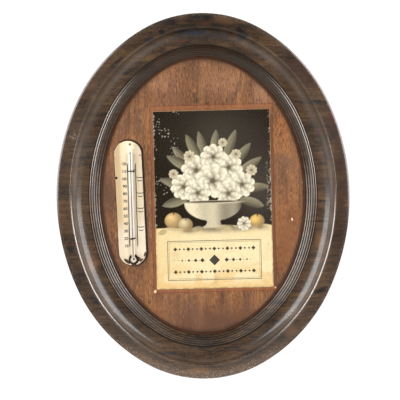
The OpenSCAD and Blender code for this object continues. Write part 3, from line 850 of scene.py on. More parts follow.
swirl = veneer.times(veneer.spots((285, 139, 12, 19), soft=0.6), veneer.stretch(wavy, 0.1, 0.9))
veneer.wash(swirl, 0.72, 98, 60, 34)
vein = veneer.spots((240.5, 79, 1.9, 11, -13), (234.5, 96, 2.2, 11, -24), soft=0.7)
veneer.wash(vein, 0.62, 92, 66, 56)
dusk = veneer.spots((237, 88, 3.6, 20, -17), (191, 312, 9, 22, -8), (246, 303, 4, 18, -6),
                    (284, 162, 16, 12, -30), (171, 88, 5, 20, 0, 0.9), (124, 112, 7, 15, -14, 0.9),
                    (112, 195, 4, 40, 3), (147, 215, 2.5, 60, 1), (118, 252, 5, 26, 14),
                    (138, 122, 6, 20, 6), (122, 128, 7, 18, -12), (212, 326, 40, 14, 0, 1.0),
                    (282, 283, 9, 16, 20))
veneer.wash(dusk, veneer.stretch(figure, 0.3, 0.6, 0.25, 0.65), 92, 68, 60)
veneer.tell("figured")

# %% Finish of the veneer: pores, shading, border, small marks and painted shadows
veneer.wash(veneer.stretch(pores, 0.49, 0.38), 0.85, 56, 36, 28)
veneer.wash(veneer.stretch(pores, 0.54, 0.68), 0.6, 206, 150, 98)
dashes = veneer.stretch(veneer.grain((560, 0, 120), 3, 0.6, 0.5), 0.57, 0.66)
field = veneer.spots((132, 115, 24, 34), (170, 90, 30, 14), (285, 200, 22, 90),
                     (200, 315, 70, 24), (115, 220, 10, 60), soft=0.9)
veneer.wash(veneer.times(dashes, field), 0.8, 58, 37, 28)
veneer.wash(1.0, 0.16, 104, 66, 38)
veneer.wash(veneer.spots((215, 325, 84, 34), soft=1.0), 0.9, 92, 61, 46)
veneer.wash(veneer.spots((108, 192, 8, 50)), 0.62, 74, 52, 42)
veneer.wash(veneer.spots((286, 238, 18, 46), soft=1.0), 0.66, 112, 69, 40)
# Painted shadow of the frame's lip along the sight edge.
sight = veneer.blob((0, 0), (93.6 * MM, 127.0 * MM), soft=0.045)
veneer.wash(veneer.minus(1.0, sight), 0.75, 36, 22, 16)
veneer.wash(veneer.stretch(veneer.grain((22, 0, 18), 2), 0.35, 0.65), 0.14, 190, 136, 100)
in_border = veneer.box(BORDER_AT, BORDER_SIZE, CARD_TURN)
round_border = veneer.box(BORDER_AT, tuple(length + BORDER_EDGE for length in BORDER_SIZE), CARD_TURN)
veneer.wash(in_border, 0.5, 158, 98, 62)
veneer.wash(veneer.minus(round_border, in_border), 0.75, 122, 62, 40)
veneer.wash(veneer.box(spot(273.2, 200), (3.2 * MM, 158 * MM), CARD_TURN, 0.6 * MM), 0.5, 92, 58, 38)
nicks = veneer.spots((292.2, 219.3, 0.9, 1.7, 12), (155.2, 291.6, 1.5, 1.8, -20),
                     (275.5, 287.5, 0.8, 0.9), soft=0.4)
veneer.wash(nicks, 1, 244, 206, 160)
veneer.wash(veneer.stretch(veneer.grain((420, 0, 420), 2), 0.70, 0.76), 0.5, 200, 160, 130)
# Painted shadow of the plate on the veneer, stronger at its right and top.
near_plate, _, _ = plate_radial(veneer, (0.8 * MM, 0.35 * MM))
plate_shadow = veneer.stretch(near_plate, PLATE_W / 2 + 1.5 * MM, PLATE_W / 2 + 0.3 * MM)
veneer.wash(plate_shadow, 0.88, 24, 15, 10)
veneer.paint()
veneer.bump(veneer.plus(pores, veneer.times(streaks, 0.8)), 0.12, 0.6)
dress(veneer, "veneer_face")

# %% [markdown]
# Behind the veneer come two boards. Only the backing board is seen, from behind: cheap grey
# strawboard with flecks of straw, water marks and brown foxing. The card's mount is soiled too.

# %% Finish of the boards and the card's mount
straw = Finish("strawboard", Roughness=0.85, Specular_IOR_Level=0.2)
fibres = straw.grain((700, 0, 260), 4, 0.7, 1.0)
straw.ramp(fibres, (0.30, 112, 90, 62), (0.50, 150, 126, 90), (0.70, 182, 158, 118))
straw.wash(straw.stretch(straw.grain((60, 0, 60), 5, 0.7), 0.60, 0.72), 0.6, 110, 78, 46)
water = straw.math("ABSOLUTE", straw.minus(straw.grain((12, 0, 12), 3, 0.6, 1.5), 0.5))
straw.wash(straw.stretch(water, 0.03, 0.0), 0.35, 96, 74, 48)
straw.paint()
straw.bump(fibres, 0.15, 0.7)
dress(straw, "backing_board")

pine = one_noise("panel_board", (14, 300, 320), 4, 0.6, ((0.3, 138, 104, 66), (0.7, 186, 150, 104)),
                 relief=(0.1, 0.5), Roughness=0.75)
dress(pine, "panel_board")

mount = one_noise("card_mount", 600, 4, 0.7, ((0.3, 146, 116, 84), (0.7, 190, 160, 122)),
                  relief=(0.08, 0.6), Roughness=0.8, Specular_IOR_Level=0.25)
mount.wash(mount.stretch(mount.grain(90, 4, 0.7), 0.5, 0.75), 0.8, 96, 70, 50)
mount.paint()
dress(mount, "card_mount")

# %% [markdown]
# The print on the card is a still life in sepia: a footed bowl of pale blossoms and leaves in
# front of a near-black ground, on a cream cloth that fills the lower third. It is our own
# drawing, made of soft ellipses and leaf shapes. The sheet gets a fine grid of corners, each
# corner's colour is worked out by the drawing, and the finish reads it as an attribute.

# %% Sheet of the print
PRINT_W = 107.2 * MM
PRINT_H = 163.7 * MM
PRINT_T = 0.15 * MM
PRINT_BACK = 11.0 * MM
PRINT_FRONT = PRINT_BACK + PRINT_T
PRINT_STEP = 0.62 * MM
ON_CARD = turned(CARD_TURN, *CARD_AT)

deselect()
bpy.ops.mesh.primitive_grid_add(x_subdivisions=round(PRINT_W / PRINT_STEP),
                                y_subdivisions=round(PRINT_H / PRINT_STEP),
                                size=1, location=(0, 0, PRINT_FRONT))
print_sheet = bpy.context.object
print_sheet.name = "print_sheet"
print_sheet.scale = (PRINT_W, PRINT_H, 1)
settle(print_sheet)
edit(print_sheet)
bpy.ops.mesh.region_to_loop()
bpy.ops.mesh.extrude_edges_move(TRANSFORM_OT_translate={"value": (0, 0, -PRINT_T)})
bpy.ops.mesh.edge_face_add()
leave()
clean(print_sheet)
px, py = corners(print_sheet)[:, 0] / MM, corners(print_sheet)[:, 1] / MM
print("print sheet", len(px), "corners")


# %% Tools for the drawing
def unit(values):
    """Holds values between 0 and 1."""
    return np.clip(values, 0, 1)


class Drawing:
    """Colours at many points at once, painted over each other; lengths are in millimetres."""

    def __init__(self, x, y, ground):
        self.x, self.y = x, y
        self.colour = np.tile(np.array(ground, float), (len(x), 1))

    def lay(self, mask, colour):
        self.colour += (np.asarray(colour, float) - self.colour) * unit(mask)[:, None]

    def shade(self, mask, dark, light, tone):
        """Lays a colour that runs from dark to light with the tone."""
        tone = unit(tone)[:, None]
        self.lay(mask, np.asarray(dark) * (1 - tone) + np.asarray(light) * tone)

    def local(self, x, y, angle):
        """The points measured from a place, along and across a direction."""
        c, s = math.cos(math.radians(angle)), math.sin(math.radians(angle))
        dx, dy = self.x - x, self.y - y
        return dx * c + dy * s, dy * c - dx * s

    def ellipse(self, x, y, wide, high, angle=0, soft=0.5):
        u, v = self.local(x, y, angle)
        far = np.sqrt((u / wide) ** 2 + (v / high) ** 2)
        return unit((1 - far) * min(wide, high) / soft + 0.5)

    def glow(self, x, y, wide, high):
        return np.exp(-(((self.x - x) / wide) ** 2 + ((self.y - y) / high) ** 2))

    def leaf(self, x, y, length, wide, angle, light, dark):
        u, v = self.local(x, y, angle)
        half = wide * np.clip(4 * (u / length) * (1 - u / length), 0, None) ** 0.8
        body = unit((half - np.abs(v)) / 0.5 + 0.3) * (u > 0) * (u < length)
        self.shade(body, dark, light, 0.5 + v / (2 * wide))
        self.lay(0.6 * unit(1 - np.abs(v) / 0.35) * body, light)

    def petal(self, x, y, length, wide, angle, light, dark):
        """A rounded petal that starts at (x, y) and is darkest at its root."""
        u, v = self.local(x, y, angle)
        share = unit(u / length)
        half = wide * np.sqrt(share) * np.sqrt(1 - share ** 4)
        body = unit((half - np.abs(v)) / 0.5 + 0.5) * (u > 0) * (u < length)
        self.shade(body, dark, light, share ** 1.3 - 0.25 * (v / wide))
        self.lay(0.35 * unit(1 - np.abs(half - np.abs(v)) / 0.9) * body, dark)

    def blossom(self, x, y, size, turn, light, dark):
        for ring, (count, reach) in enumerate(((9, 1.0), (7, 0.74), (5, 0.48))):
            for k in range(count):
                angle = turn + 23 * ring + 360 * k / count
                self.petal(x, y, size * reach, size * reach * 0.40, angle, light, dark)
        self.lay(self.ellipse(x, y, size * 0.15, size * 0.15, soft=0.6), dark)


def speckle(cell, seed):
    """Smooth random values between 0 and 1 all over the sheet, the same on every run."""
    grid = np.random.RandomState(seed).rand(400, 400)
    u, v = ((px + 60) / cell) % 399, ((py + 90) / cell) % 399
    i, j = np.floor(u).astype(int), np.floor(v).astype(int)
    fu, fv = u - i, v - j
    fu, fv = fu * fu * (3 - 2 * fu), fv * fv * (3 - 2 * fv)
    return (grid[i, j] * (1 - fu) * (1 - fv) + grid[i + 1, j] * fu * (1 - fv)
            + grid[i, j + 1] * (1 - fu) * fv + grid[i + 1, j + 1] * fu * fv)


# %% Drawing: ground, leaves and blossoms
INK, SHADE = (0.005, 0.0045, 0.003), (0.05, 0.042, 0.030)
PALE, CREAM, IVORY = (0.80, 0.70, 0.48), (0.835, 0.675, 0.38), (0.97, 0.89, 0.68)
art = Drawing(px, py, INK)
art.lay(0.75 * art.glow(6, 58, 34, 26), (0.05, 0.043, 0.034))
art.lay(0.9 * art.glow(40, 10, 22, 40), (0.050, 0.040, 0.036))
art.lay(0.5 * art.glow(-30, 40, 18, 26), (0.012, 0.011, 0.009))
for x, y, size, angle in ((-14, 24, 34, 132), (-4, 30, 34, 104), (10, 30, 36, 70), (18, 18, 34, 36),
                          (-20, 12, 30, 166), (22, 8, 30, 6), (2, 34, 30, 86), (-16, 26, 30, 150),
                          (16, 26, 32, 52), (-22, 2, 26, 196), (24, 0, 24, -18), (-9, 32, 32, 118)):
    art.leaf(x, y, size, 4.6, angle, (0.30, 0.265, 0.17), (0.045, 0.04, 0.026))
for x, y, size, turn in ((-15, 27, 14, 10), (15, 29, 13, 30), (1, 39, 12, 50), (-27, 12, 12, 70),
                         (27, 13, 12, 15), (0, 17, 16, 0), (-14, 6, 12, 40), (14, 5, 12, 25)):
    art.blossom(x, y, size, turn, IVORY, (0.13, 0.105, 0.062))
for x, y, size in ((-21, 40, 3.4), (22, 41, 3.0), (-36, 24, 2.8), (36, 26, 3.2), (10, 52, 2.6)):
    art.blossom(x, y, size * 1.6, 15 * x, PALE, (0.16, 0.13, 0.08))
print("bouquet, mean colour", art.colour.mean(axis=0).round(3))

# %% Drawing: cloth, bowl and fruit
cloth = -25 + 1.6 * np.sin(px / 17.0) + 0.9 * np.sin(px / 6.5 + 1)
on_cloth = py < cloth
art.lay((cloth - py) / 0.6, CREAM)
art.lay(unit((cloth - py) / 14) * 0.5, (0.86, 0.74, 0.46))
art.lay(0.75 * art.glow(3, -27.5, 30, 3.4) * on_cloth, SHADE)
body = (np.sqrt(unit(1 - ((py + 3) / 17.0) ** 2)) * 27 - np.abs(px)) / 0.6
body = unit(body) * unit((-2.4 - py) / 0.6) * (py > -20.2)
foot = (6.5 + 5.5 * unit((-py - 21.5) / 4.5) ** 2 - np.abs(px)) / 0.6
foot = unit(foot) * (py < -19.2) * (py > -26.6)
for mask in (body, foot):
    art.shade(mask, SHADE, PALE, 0.62 - px / 52 + 0.12 * np.cos(px / 3.1))
art.lay(art.ellipse(0, -2.6, 27.5, 1.7), (0.62, 0.54, 0.38))
art.lay(art.ellipse(0, -2.2, 26, 0.9), SHADE)
for x, y, size, tint in ((-37, -19, 8.0, (0.80, 0.56, 0.24)), (-26, -23, 6.6, (0.72, 0.60, 0.36)),
                         (40, -21, 6.8, (0.90, 0.56, 0.16))):
    fruit = art.ellipse(x, y, size, 0.92 * size, soft=0.6)
    art.lay(0.7 * art.glow(x + 2, y - 0.8 * size, size, 2.4) * (py < cloth + 2), SHADE)
    art.lay(fruit, (0.30, 0.20, 0.09))
    art.lay(0.95 * art.glow(x - 0.3 * size, y + 0.3 * size, 0.72 * size, 0.68 * size) * fruit, tint)
    art.lay(art.ellipse(x + 0.4, y + 0.86 * size, 0.5, 1.6, -12), INK)
art.lay(0.7 * art.glow(29, -27, 7, 2.4), SHADE)
art.blossom(28, -23, 6.5, 60, IVORY, (0.16, 0.12, 0.07))
for x, y, size, angle in ((-22, -28, 13, 8), (20, -27, 12, 172), (-43, -28, 9, 200)):
    art.leaf(x, y, size, 2.4, angle, (0.42, 0.36, 0.22), (0.09, 0.075, 0.05))
print("still life, mean colour", art.colour.mean(axis=0).round(3))

# %% Drawing: stains and wear
to_side = PRINT_W / 2 / MM - np.abs(px)
to_foot = PRINT_H / 2 / MM + py
art.lay(on_cloth * 0.45 * art.glow(-52, -52, 22, 34), (0.72, 0.50, 0.20))
art.lay(on_cloth * 0.8 * unit((-73.5 - py) / 8), (0.74, 0.46, 0.17))
art.lay(on_cloth * 0.6 * unit((-49.5 - px) / 4), (0.74, 0.50, 0.21))
tide = unit((speckle(9.0, 12) - 0.5) / 0.12)
art.lay(on_cloth * 0.35 * tide, (0.80, 0.62, 0.32))
art.lay(0.5 * tide * unit((-58 - py) / 12), (0.76, 0.50, 0.20))
burnt = unit((speckle(2.6, 21) - 0.35) / 0.3)
art.lay(on_cloth * 0.8 * burnt * unit(1 - to_side / 1.1), (0.34, 0.19, 0.08))
art.lay(0.85 * burnt * unit(1 - to_foot / 1.2), (0.36, 0.20, 0.08))
flakes = (speckle(0.9, 5) > 0.62) * (speckle(5.0, 6) > 0.45)
art.lay(unit(1 - to_side / 1.8) * flakes * (py > cloth) * 0.8, (0.62, 0.55, 0.42))
rubbed = unit(1 - (PRINT_W / 2 / MM - px) / 6) * (np.abs(py - 12) < 22)
art.lay(rubbed * (speckle(1.3, 7) > 0.66) * 0.6, (0.5, 0.44, 0.34))
stars = (speckle(0.8, 8) > 0.83) * (speckle(9.0, 9) > 0.55)
art.lay(stars * (px < -30) * (py > 5) * 0.75, (0.55, 0.5, 0.4))
art.colour *= 0.94 + 0.12 * speckle(1.1, 10)[:, None]
layer = print_sheet.data.attributes.new("drawn", "FLOAT_COLOR", "POINT")
layer.data.foreach_set("color", np.column_stack([art.colour, np.ones(len(px))]).astype(np.float32).ravel())
print("worn print, mean colour", art.colour.mean(axis=0).round(3))

# %% Finish of the print
settle(print_sheet, ON_CARD)
sepia = Finish("sepia_print", Specular_IOR_Level=0.08)
sepia.colour = sepia.add("Attribute", attribute_name="drawn").outputs["Color"]
paper = sepia.grain(900, 4, 0.7)
soil = sepia.grain((60, 0, 60), 4, 0.65)
sepia.wash(sepia.stretch(paper, 0.35, 0.7), 0.10, 150, 120, 84)
sepia.wash(sepia.stretch(soil, 0.55, 0.8), 0.35, 176, 140, 92, way="MULTIPLY")
sepia.paint(Roughness=sepia.stretch(soil, 0.3, 0.7, 0.36, 0.55))
sepia.bump(paper, 0.05, 0.5)
wear(print_sheet, "frame", "print_paper", sepia, "card_print")

# %% [markdown]
# Below the picture the real card carries printed lines. Here they are a plain ornament: a thin
# double rule round the field, a lozenge in the middle and a row of small beads, all cut from
# thin ink so that they stay crisp from close by.

# %% Ornament under the picture, in millimetres
INK_T = 0.02 * MM
FIELD_W, FIELD_TOP, FIELD_LOW = 86, -38, -74
FIELD_MID = (FIELD_TOP + FIELD_LOW) / 2


def ink_bar(x, y, wide, high, turn=0.0, front=PRINT_FRONT):
    """One flat bar of ink, placed and sized in millimetres, lying on the face below it."""
    deselect()
    bpy.ops.mesh.primitive_cube_add(size=1, location=(x * MM, y * MM, front + INK_T / 2))
    bar = bpy.context.object
    bar.scale = (wide * MM, high * MM, INK_T)
    bar.rotation_euler = (0, 0, math.radians(turn))
    settle(bar)
    return bar


motifs = []
for inward, thick in ((0, 0.5), (1.3, 0.22)):
    for y in (FIELD_TOP - inward, FIELD_LOW + inward):
        motifs.append(ink_bar(0, y, FIELD_W - 2 * inward, thick))
    for way in (-1, 1):
        motifs.append(ink_bar(way * (FIELD_W / 2 - inward), FIELD_MID, thick,
                              FIELD_TOP - FIELD_LOW - 2 * inward))
motifs.append(ink_bar(0, FIELD_MID, 7, 7, 45))
for k in range(1, 5):
    for way in (-1, 1):
        motifs.append(ink_bar(way * (5 + 6.2 * k), FIELD_MID, 3.4 - 0.5 * k, 3.4 - 0.5 * k, 45))
        motifs.append(ink_bar(way * (8.1 + 6.2 * k), FIELD_MID, 1.6, 0.3))
for y in (FIELD_MID + 10.5, FIELD_MID - 10.5):
    for k in range(-9, 10):
        bead = 1.5 if k % 3 else 2.7
        motifs.append(ink_bar(4 * k, y, bead, bead, 45))
ornament = join("print_ornament", motifs)
settle(ornament, ON_CARD)
ink = one_noise("printing_ink", (1200, 0, 1200), 3, 0.7, ((0.40, 34, 29, 22), (0.80, 96, 82, 58)),
                Roughness=0.6)
wear(ornament, "frame", "print_paper", ink)

# %% [markdown]
# The thermometer leans a degree to the left, and its plate a little more than its tube. Both are
# drawn upright round their own middle and then moved to their place. The plate starts as a circle
# whose halves are pulled apart. Its rim gets a slight waver, then thickness, a rounded edge, and
# the holes: for the bulb, for the nail, for the staples' legs, and one where an old nail has
# chipped through the left edge.

# %% Enamelled plate
PLATE_SIDES = 96
PLATE_T = 1.0 * MM
PLATE_BACK = 10.6 * MM
PLATE_FRONT = PLATE_BACK + PLATE_T
TUBE_H = 13.7 * MM
TUBE_LEAN = 1
TUBE_RIGHT = 1.3 * MM
BULB_DOWN = 52.35 * MM
BULB_HOLE_R = 4.1 * MM
DRILL = 4 * MM
# Staples on the scale: half their span, and the turn and height of each
BEND_R = 2.55 * MM
AT_LOW_STAPLE = turned(9, y=19.68 * MM)
AT_HIGH_STAPLE = turned(2, y=81.6 * MM)
ON_PLATE = turned(PLATE_LEAN, *PLATE_AT)
ON_SCALE = turned(TUBE_LEAN, *PLATE_AT) @ Matrix.Translation((TUBE_RIGHT, -BULB_DOWN, 0))

deselect()
bpy.ops.mesh.primitive_circle_add(vertices=PLATE_SIDES, radius=PLATE_W / 2, location=(0, 0, PLATE_BACK),
                                  rotation=(0, 0, math.radians(180 / PLATE_SIDES)))
plate = bpy.context.object
plate.name = "enamel_plate"
settle(plate)


def ends(edge, axis):
    """Where both ends of an edge of the plate lie along one axis."""
    return [plate.data.vertices[i].co[axis] for i in edge.vertices]


for way in (1, -1):
    edit_some(plate, "VERT", lambda corner: corner.co.y * way > 0)
    bpy.ops.transform.translate(value=(0, way * (PLATE_L - PLATE_W) / 2, 0))
    leave()
edit_some(plate, "EDGE", lambda edge: max(ends(edge, 1)) - min(ends(edge, 1)) > 50 * MM)
bpy.ops.mesh.subdivide(number_cuts=100)
bpy.ops.mesh.select_all(action="SELECT")
bpy.ops.mesh.select_mode(type="VERT")
bpy.ops.transform.vertex_random(offset=0.32 * MM, seed=11)
bpy.ops.mesh.vertices_smooth(factor=0.5, repeat=2)
bpy.ops.transform.resize(value=(1, 1, 0), center_override=(0, 0, PLATE_BACK))
bpy.ops.mesh.edge_face_add()
bpy.ops.mesh.extrude_region_move(TRANSFORM_OT_translate={"value": (0, 0, PLATE_T)})
leave()
clean(plate)
edit_some(plate, "EDGE", lambda edge: min(ends(edge, 2)) > PLATE_FRONT - 0.1 * MM)
bpy.ops.mesh.bevel(offset=0.35 * MM, segments=4, affect="EDGES")
leave()
print("plate", [round(1000 * size, 2) for size in plate.dimensions], "mm")

# %% Holes of the plate
in_plate = ON_PLATE.inverted() @ ON_SCALE
holes = [
    (BULB_HOLE_R, in_plate @ Vector((0, 0, PLATE_FRONT)), 64),
    (0.75 * MM, in_plate @ Vector((0, 106.5 * MM, PLATE_FRONT)), 24),
    (0.85 * MM, (-12.2 * MM, 23.8 * MM, PLATE_FRONT), 24),
]
for staple_at in (AT_LOW_STAPLE, AT_HIGH_STAPLE):
    for way in (-1, 1):
        holes.append((0.6 * MM, in_plate @ staple_at @ Vector((way * BEND_R, 0, PLATE_FRONT)), 20))
for radius, at, sides in holes:
    cut(plate, cylinder(radius, DRILL, at, sides))
smooth(plate, 40)
settle(plate, ON_PLATE)
print(len(holes), "holes")

# %% [markdown]
# The enamel has yellowed, more so along its left side, and it is chipped to bare rusty iron
# round the bulb's hole, at the lower corners and in small nicks on the rim. A painted shadow of
# the tube lies to its right, a painted shadow rings the bulb's hole, and the rim is darker on the
# right as painted shade as well as wear. How far a point is from the rim follows from the plate's
# own form: the distance to a line down its middle.

# %% Finish of the plate
enamel = Finish("cream_enamel", Specular_IOR_Level=0.5, Coat_Roughness=0.12)
radial, plate_x, plate_z = plate_radial(enamel)
mottle = enamel.grain((180, 0, 60), 3, 0.6)
crackle = enamel.grain((1100, 0, 1100), 3, 0.6)
ragged = enamel.grain((700, 0, 700), 4, 0.7)
enamel.ramp(ragged, (0.3, 34, 25, 19), (0.55, 84, 58, 40), (0.8, 132, 102, 72))
rust = enamel.colour
across = enamel.edge(plate_x, -13, 13)
enamel.ramp(across, (0.04, 202, 176, 138), (0.09, 212, 186, 146), (0.16, 240, 214, 174),
            (0.36, 254, 238, 206), (0.55, 255, 246, 222), (0.74, 248, 234, 204),
            (0.88, 216, 198, 166), (1.0, 228, 212, 184))
enamel.wash(enamel.edge(plate_z, -12, -30), 0.5, 252, 242, 222)
enamel.wash(enamel.stretch(mottle, 0.35, 0.7), 0.35, 214, 188, 146)
# Painted shadow of the tube, a dark strip to its right.
tube_shadow = enamel.box((PLATE_AT[0] + 4.3 * MM, PLATE_AT[1] + 8 * MM), (1.6 * MM, 84 * MM),
                         TUBE_LEAN, 0.8 * MM)
enamel.wash(tube_shadow, 0.4, 178, 160, 136)
enamel.wash(enamel.stretch(crackle, 0.60, 0.72), 0.3, 196, 168, 122)
to_rim = enamel.plus(enamel.minus(PLATE_W / 2, radial), enamel.times(ragged, 0.8 * MM))
# The rim is darker on the right, as wear and as painted shade at the plate's edge.
worn_rim_and_shade = enamel.times(enamel.edge(to_rim, 0.96, 0.62), enamel.stretch(across, 0.1, 0.3, 0.35, 1.0))
chips_and_rim_shade = enamel.most(worn_rim_and_shade, enamel.spots(
    (127.3, 261.3, 4.6, 1.7, -38), (139.6, 259.2, 1.7, 3.6, 30), (145.0, 254.2, 1.2, 3.0, -16),
    (134.2, 264.6, 3.4, 1.1), (142.0, 259.6, 1.1, 2.0, -48), (139.8, 155.2, 0.9, 0.8),
    (115.9, 178, 1.25, 1.2, 0, 0.4), (129.8, 144.7, 1.1, 1.1), (133.9, 259.4, 5.1, 5.1, 0, 0.16),
    soft=0.5))
flaked_and_rim_shade = enamel.stretch(enamel.plus(chips_and_rim_shade, enamel.times(ragged, 0.9)), 0.82, 0.98)
stain = enamel.spots((128, 262, 9, 5, -38), (141, 258, 6, 8, 30), (133.9, 259.4, 7.5, 7.5, 0, 0.5), soft=1.0)
enamel.wash(stain, 0.38, 170, 128, 84)
enamel.colour = enamel.mix(flaked_and_rim_shade, enamel.colour, rust)
# Painted shadow: a dark ring round the bulb's hole, and a dark pit at the old nail hole.
bulb_ring_shadow = enamel.times(enamel.spots((133.9, 259.4, 4.9, 4.9), soft=0.12), 0.8)
pit_and_bulb_shadow = enamel.most(enamel.spots((116.2, 178, 1.6, 1.5), soft=0.35), bulb_ring_shadow)
enamel.wash(pit_and_bulb_shadow, 1, 26, 17, 12)
enamel.paint(Roughness=enamel.stretch(enamel.plus(flaked_and_rim_shade, enamel.times(mottle, 0.2)), 0.0, 1.0, 0.24, 0.8),
             Coat_Weight=enamel.stretch(flaked_and_rim_shade, 0.0, 1.0, 0.4, 0.0))
enamel.bump(enamel.minus(enamel.times(mottle, 0.3), flaked_and_rim_shade), 0.18, 0.6)
wear(plate, "frame", "cream_enamel", enamel, "scale_plate")

# %% [markdown]
# The scale is printed on the plate: two long lines, ticks every two degrees on the inside of the
# left line and every ten on its outside, plain numbers, and four pairs of small index strokes on
# the right. Each stroke is its own thin layer of ink, so it stays sharp however near one looks.

# %% Printed scale, in millimetres
SCALE_START = 12.8
SCALE_STEP = 6.88
SCALE_L = 11 * SCALE_STEP
LEFT_LINE = -3.05
RIGHT_LINE = 4.45
INDEX_X = 7.9
NUMBER_SIZE = 3.7


def number(text, right, y, stretch_x):
    """A number in ink that ends at x = right and is centred on y."""
    deselect()
    bpy.ops.object.text_add(location=(0, 0, 0))
    word = bpy.context.object
    for key, value in (("body", text), ("size", NUMBER_SIZE * MM), ("align_x", "RIGHT"),
                       ("align_y", "CENTER"), ("resolution_u", 4), ("extrude", INK_T / 2),
                       ("offset", 0.10 * MM)):
        setattr(word.data, key, value)
    pick_object(word)
    bpy.ops.object.convert(target="MESH")
    word = bpy.context.object
    word.location = (right * MM, y * MM, PLATE_FRONT + INK_T / 2)
    word.scale = (stretch_x, 1, 1)
    settle(word)
    return word


def stroke(*sizes):
    """Adds a bar of ink on the plate to the strokes."""
    strokes.append(ink_bar(*sizes, front=PLATE_FRONT))


strokes = []
for x in (LEFT_LINE, RIGHT_LINE):
    stroke(x, SCALE_START + SCALE_L / 2, 0.75, SCALE_L + 0.4)
for k in range(56):
    y = SCALE_START + k * SCALE_STEP / 5
    if k % 5:
        stroke(LEFT_LINE + 0.55, y, 0.6, 0.16)
        stroke(RIGHT_LINE - 0.5, y, 0.5, 0.16)
    else:
        stroke(LEFT_LINE - 0.55, y, 0.8, 0.3)
for k in range(12):
    strokes.append(number(str(10 * k + 10), LEFT_LINE - 1.15, SCALE_START + k * SCALE_STEP,
                          0.78 if k > 8 else 1.0))
for low in (26.9, 44.1, 58.2, 72.6):
    for y, half in ((low + 3.1, 2.5), (low, 1.7)):
        stroke(INDEX_X, y, 1.6 * half, 0.74)
        for way in (-1, 1):
            stroke(INDEX_X + way * half, y + 0.35, 1.3, 0.62, way * 38)
scale_ink = join("scale_ink", strokes)
settle(scale_ink, ON_SCALE)
black = one_noise("scale_print", (900, 0, 900), 3, 0.7,
                  ((0.38, 24, 21, 17), (0.66, 46, 41, 32), (0.86, 130, 118, 92)), Roughness=0.5)
wear(scale_ink, "frame", "cream_enamel", black)

# %% [markdown]
# Tube and bulb are one lathe form: half of its outline is drawn beside the axis and spun a full
# turn. A second outline, the bore with the hollow of the bulb, is spun in the same way, turned
# inside out and joined, so that light really passes through two walls of glass.

# %% Glass tube, its outlines in millimetres
TUBE_R = 2.05
BULB_R = 2.95
BORE_R = 0.45
NECK_R = 1.4
TUBE_END = 99.4
BORE_END = 96.4
WALL = 0.6


def lathe(name, outline, steps=40):
    """Spins an outline of (radius, y) pairs round the tube's axis."""
    made = draw_line(name, [Vector((r * MM, y * MM, TUBE_H)) for r, y in outline])
    edit(made)
    spin((0, 0, TUBE_H), 360, steps, axis=(0, 1, 0))
    leave()
    clean(made, DOUBLES)
    return made


neck_angle = math.degrees(math.acos(NECK_R / BULB_R))
outer = [(0, -BULB_R)] + arc(0, 0, BULB_R, -84, neck_angle - 6, 18)
outer += [(1.62, 2.75), (1.45, 3.15), (NECK_R, 3.95), (1.5, 4.9), (1.78, 6.1), (TUBE_R, 7.2)]
outer += [(TUBE_R, 30), (TUBE_R, 60)] + arc(0, TUBE_END - TUBE_R, TUBE_R, 0, 84, 9) + [(0, TUBE_END)]
bore_angle = math.degrees(math.acos(BORE_R / (BULB_R - WALL)))
inner = [(0, WALL - BULB_R)] + arc(0, 0, BULB_R - WALL, -80, bore_angle, 16)
inner += [(BORE_R, 30), (BORE_R, 60), (BORE_R, BORE_END - 0.2), (0.3, BORE_END), (0, BORE_END)]
tube = lathe("glass_tube_blown", outer)
bore = lathe("bore", inner, 24)
flip(bore)
tube = join("tube_of_glass", [tube, bore])
smooth(tube, 60)
settle(tube, ON_SCALE)
print("tube", round(tube.dimensions.y * 1000, 1), "mm long")

# %% [markdown]
# The tube is milky white glass with a clear strip in front of the bore, with painted shade on its
# right. Rust from the staples has stained it, and dark bands under them add painted shadow. The
# bulb is clear, with painted shade at its rim and a painted dark reflection in its middle, so it
# has a finish of its own.

# %% Finish of tube and bulb
glass = Finish("tube_glass", IOR=1.47)
streak = glass.grain((500, 500, 20), 2)
beside, _, along = glass.split(glass.place(at=(PLATE_AT[0] + TUBE_RIGHT, PLATE_AT[1]), turn=TUBE_LEAN))
strip = glass.edge(glass.math("ABSOLUTE", beside), 0.8, 0.45)
glass.colour = rgb(255, 252, 242)
# Painted shade on the right side of the tube.
glass.wash(glass.edge(beside, 0.97, 1.77), 0.4, 206, 190, 180)
glass.wash(glass.edge(along, 12, 2), 0.35, 244, 222, 212)
glass.wash(glass.edge(along, -32, -36), 0.9, 250, 236, 208)
# Dark bands under the staples: rust stain and painted shadow.
staple_shadow_and_rust = glass.most(glass.box((-65.2 * MM, -38.8 * MM), (3.4 * MM, 1.6 * MM), 10, 0.25 * MM),
                   glass.box((-66.3 * MM, 23.27 * MM), (3.4 * MM, 0.8 * MM), 3, 0.3 * MM))
glass.wash(staple_shadow_and_rust, 0.92, 34, 26, 20)
glass.paint(Transmission_Weight=glass.stretch(strip, 0.0, 1.0, 0.04, 0.78),
            Roughness=glass.stretch(streak, 0.4, 0.7, 0.07, 0.13))
glass.bump(streak, 0.02, 0.3)
wear(tube, "frame", "tube_glass", glass, "glass_tube")

clear = Finish("bulb_glass", Transmission_Weight=0.3, IOR=1.47)
clear.colour = rgb(255, 238, 216)
# Painted shade round the bulb's rim.
clear.wash(clear.minus(1.0, clear.spots((134.0, 259.5, 3.0, 3.0), soft=0.3)), 0.7, 66, 54, 44)
# Painted dark reflection in the middle of the bulb.
clear.wash(clear.spots((134.1, 258.8, 1.15, 1.15), soft=0.35), 1, 12, 10, 9)
dull = clear.grain(900, 3)
clear.paint(Roughness=clear.stretch(dull, 0.4, 0.7, 0.02, 0.09))
clear.bump(dull, 0.01, 0.3)
tube.data.materials.append(clear.material)
bulb_centre = HANG @ ON_SCALE @ Vector((0, 0, TUBE_H))
for face in tube.data.polygons:
    face.material_index = int((face.center - bulb_centre).length < 3.4 * MM)

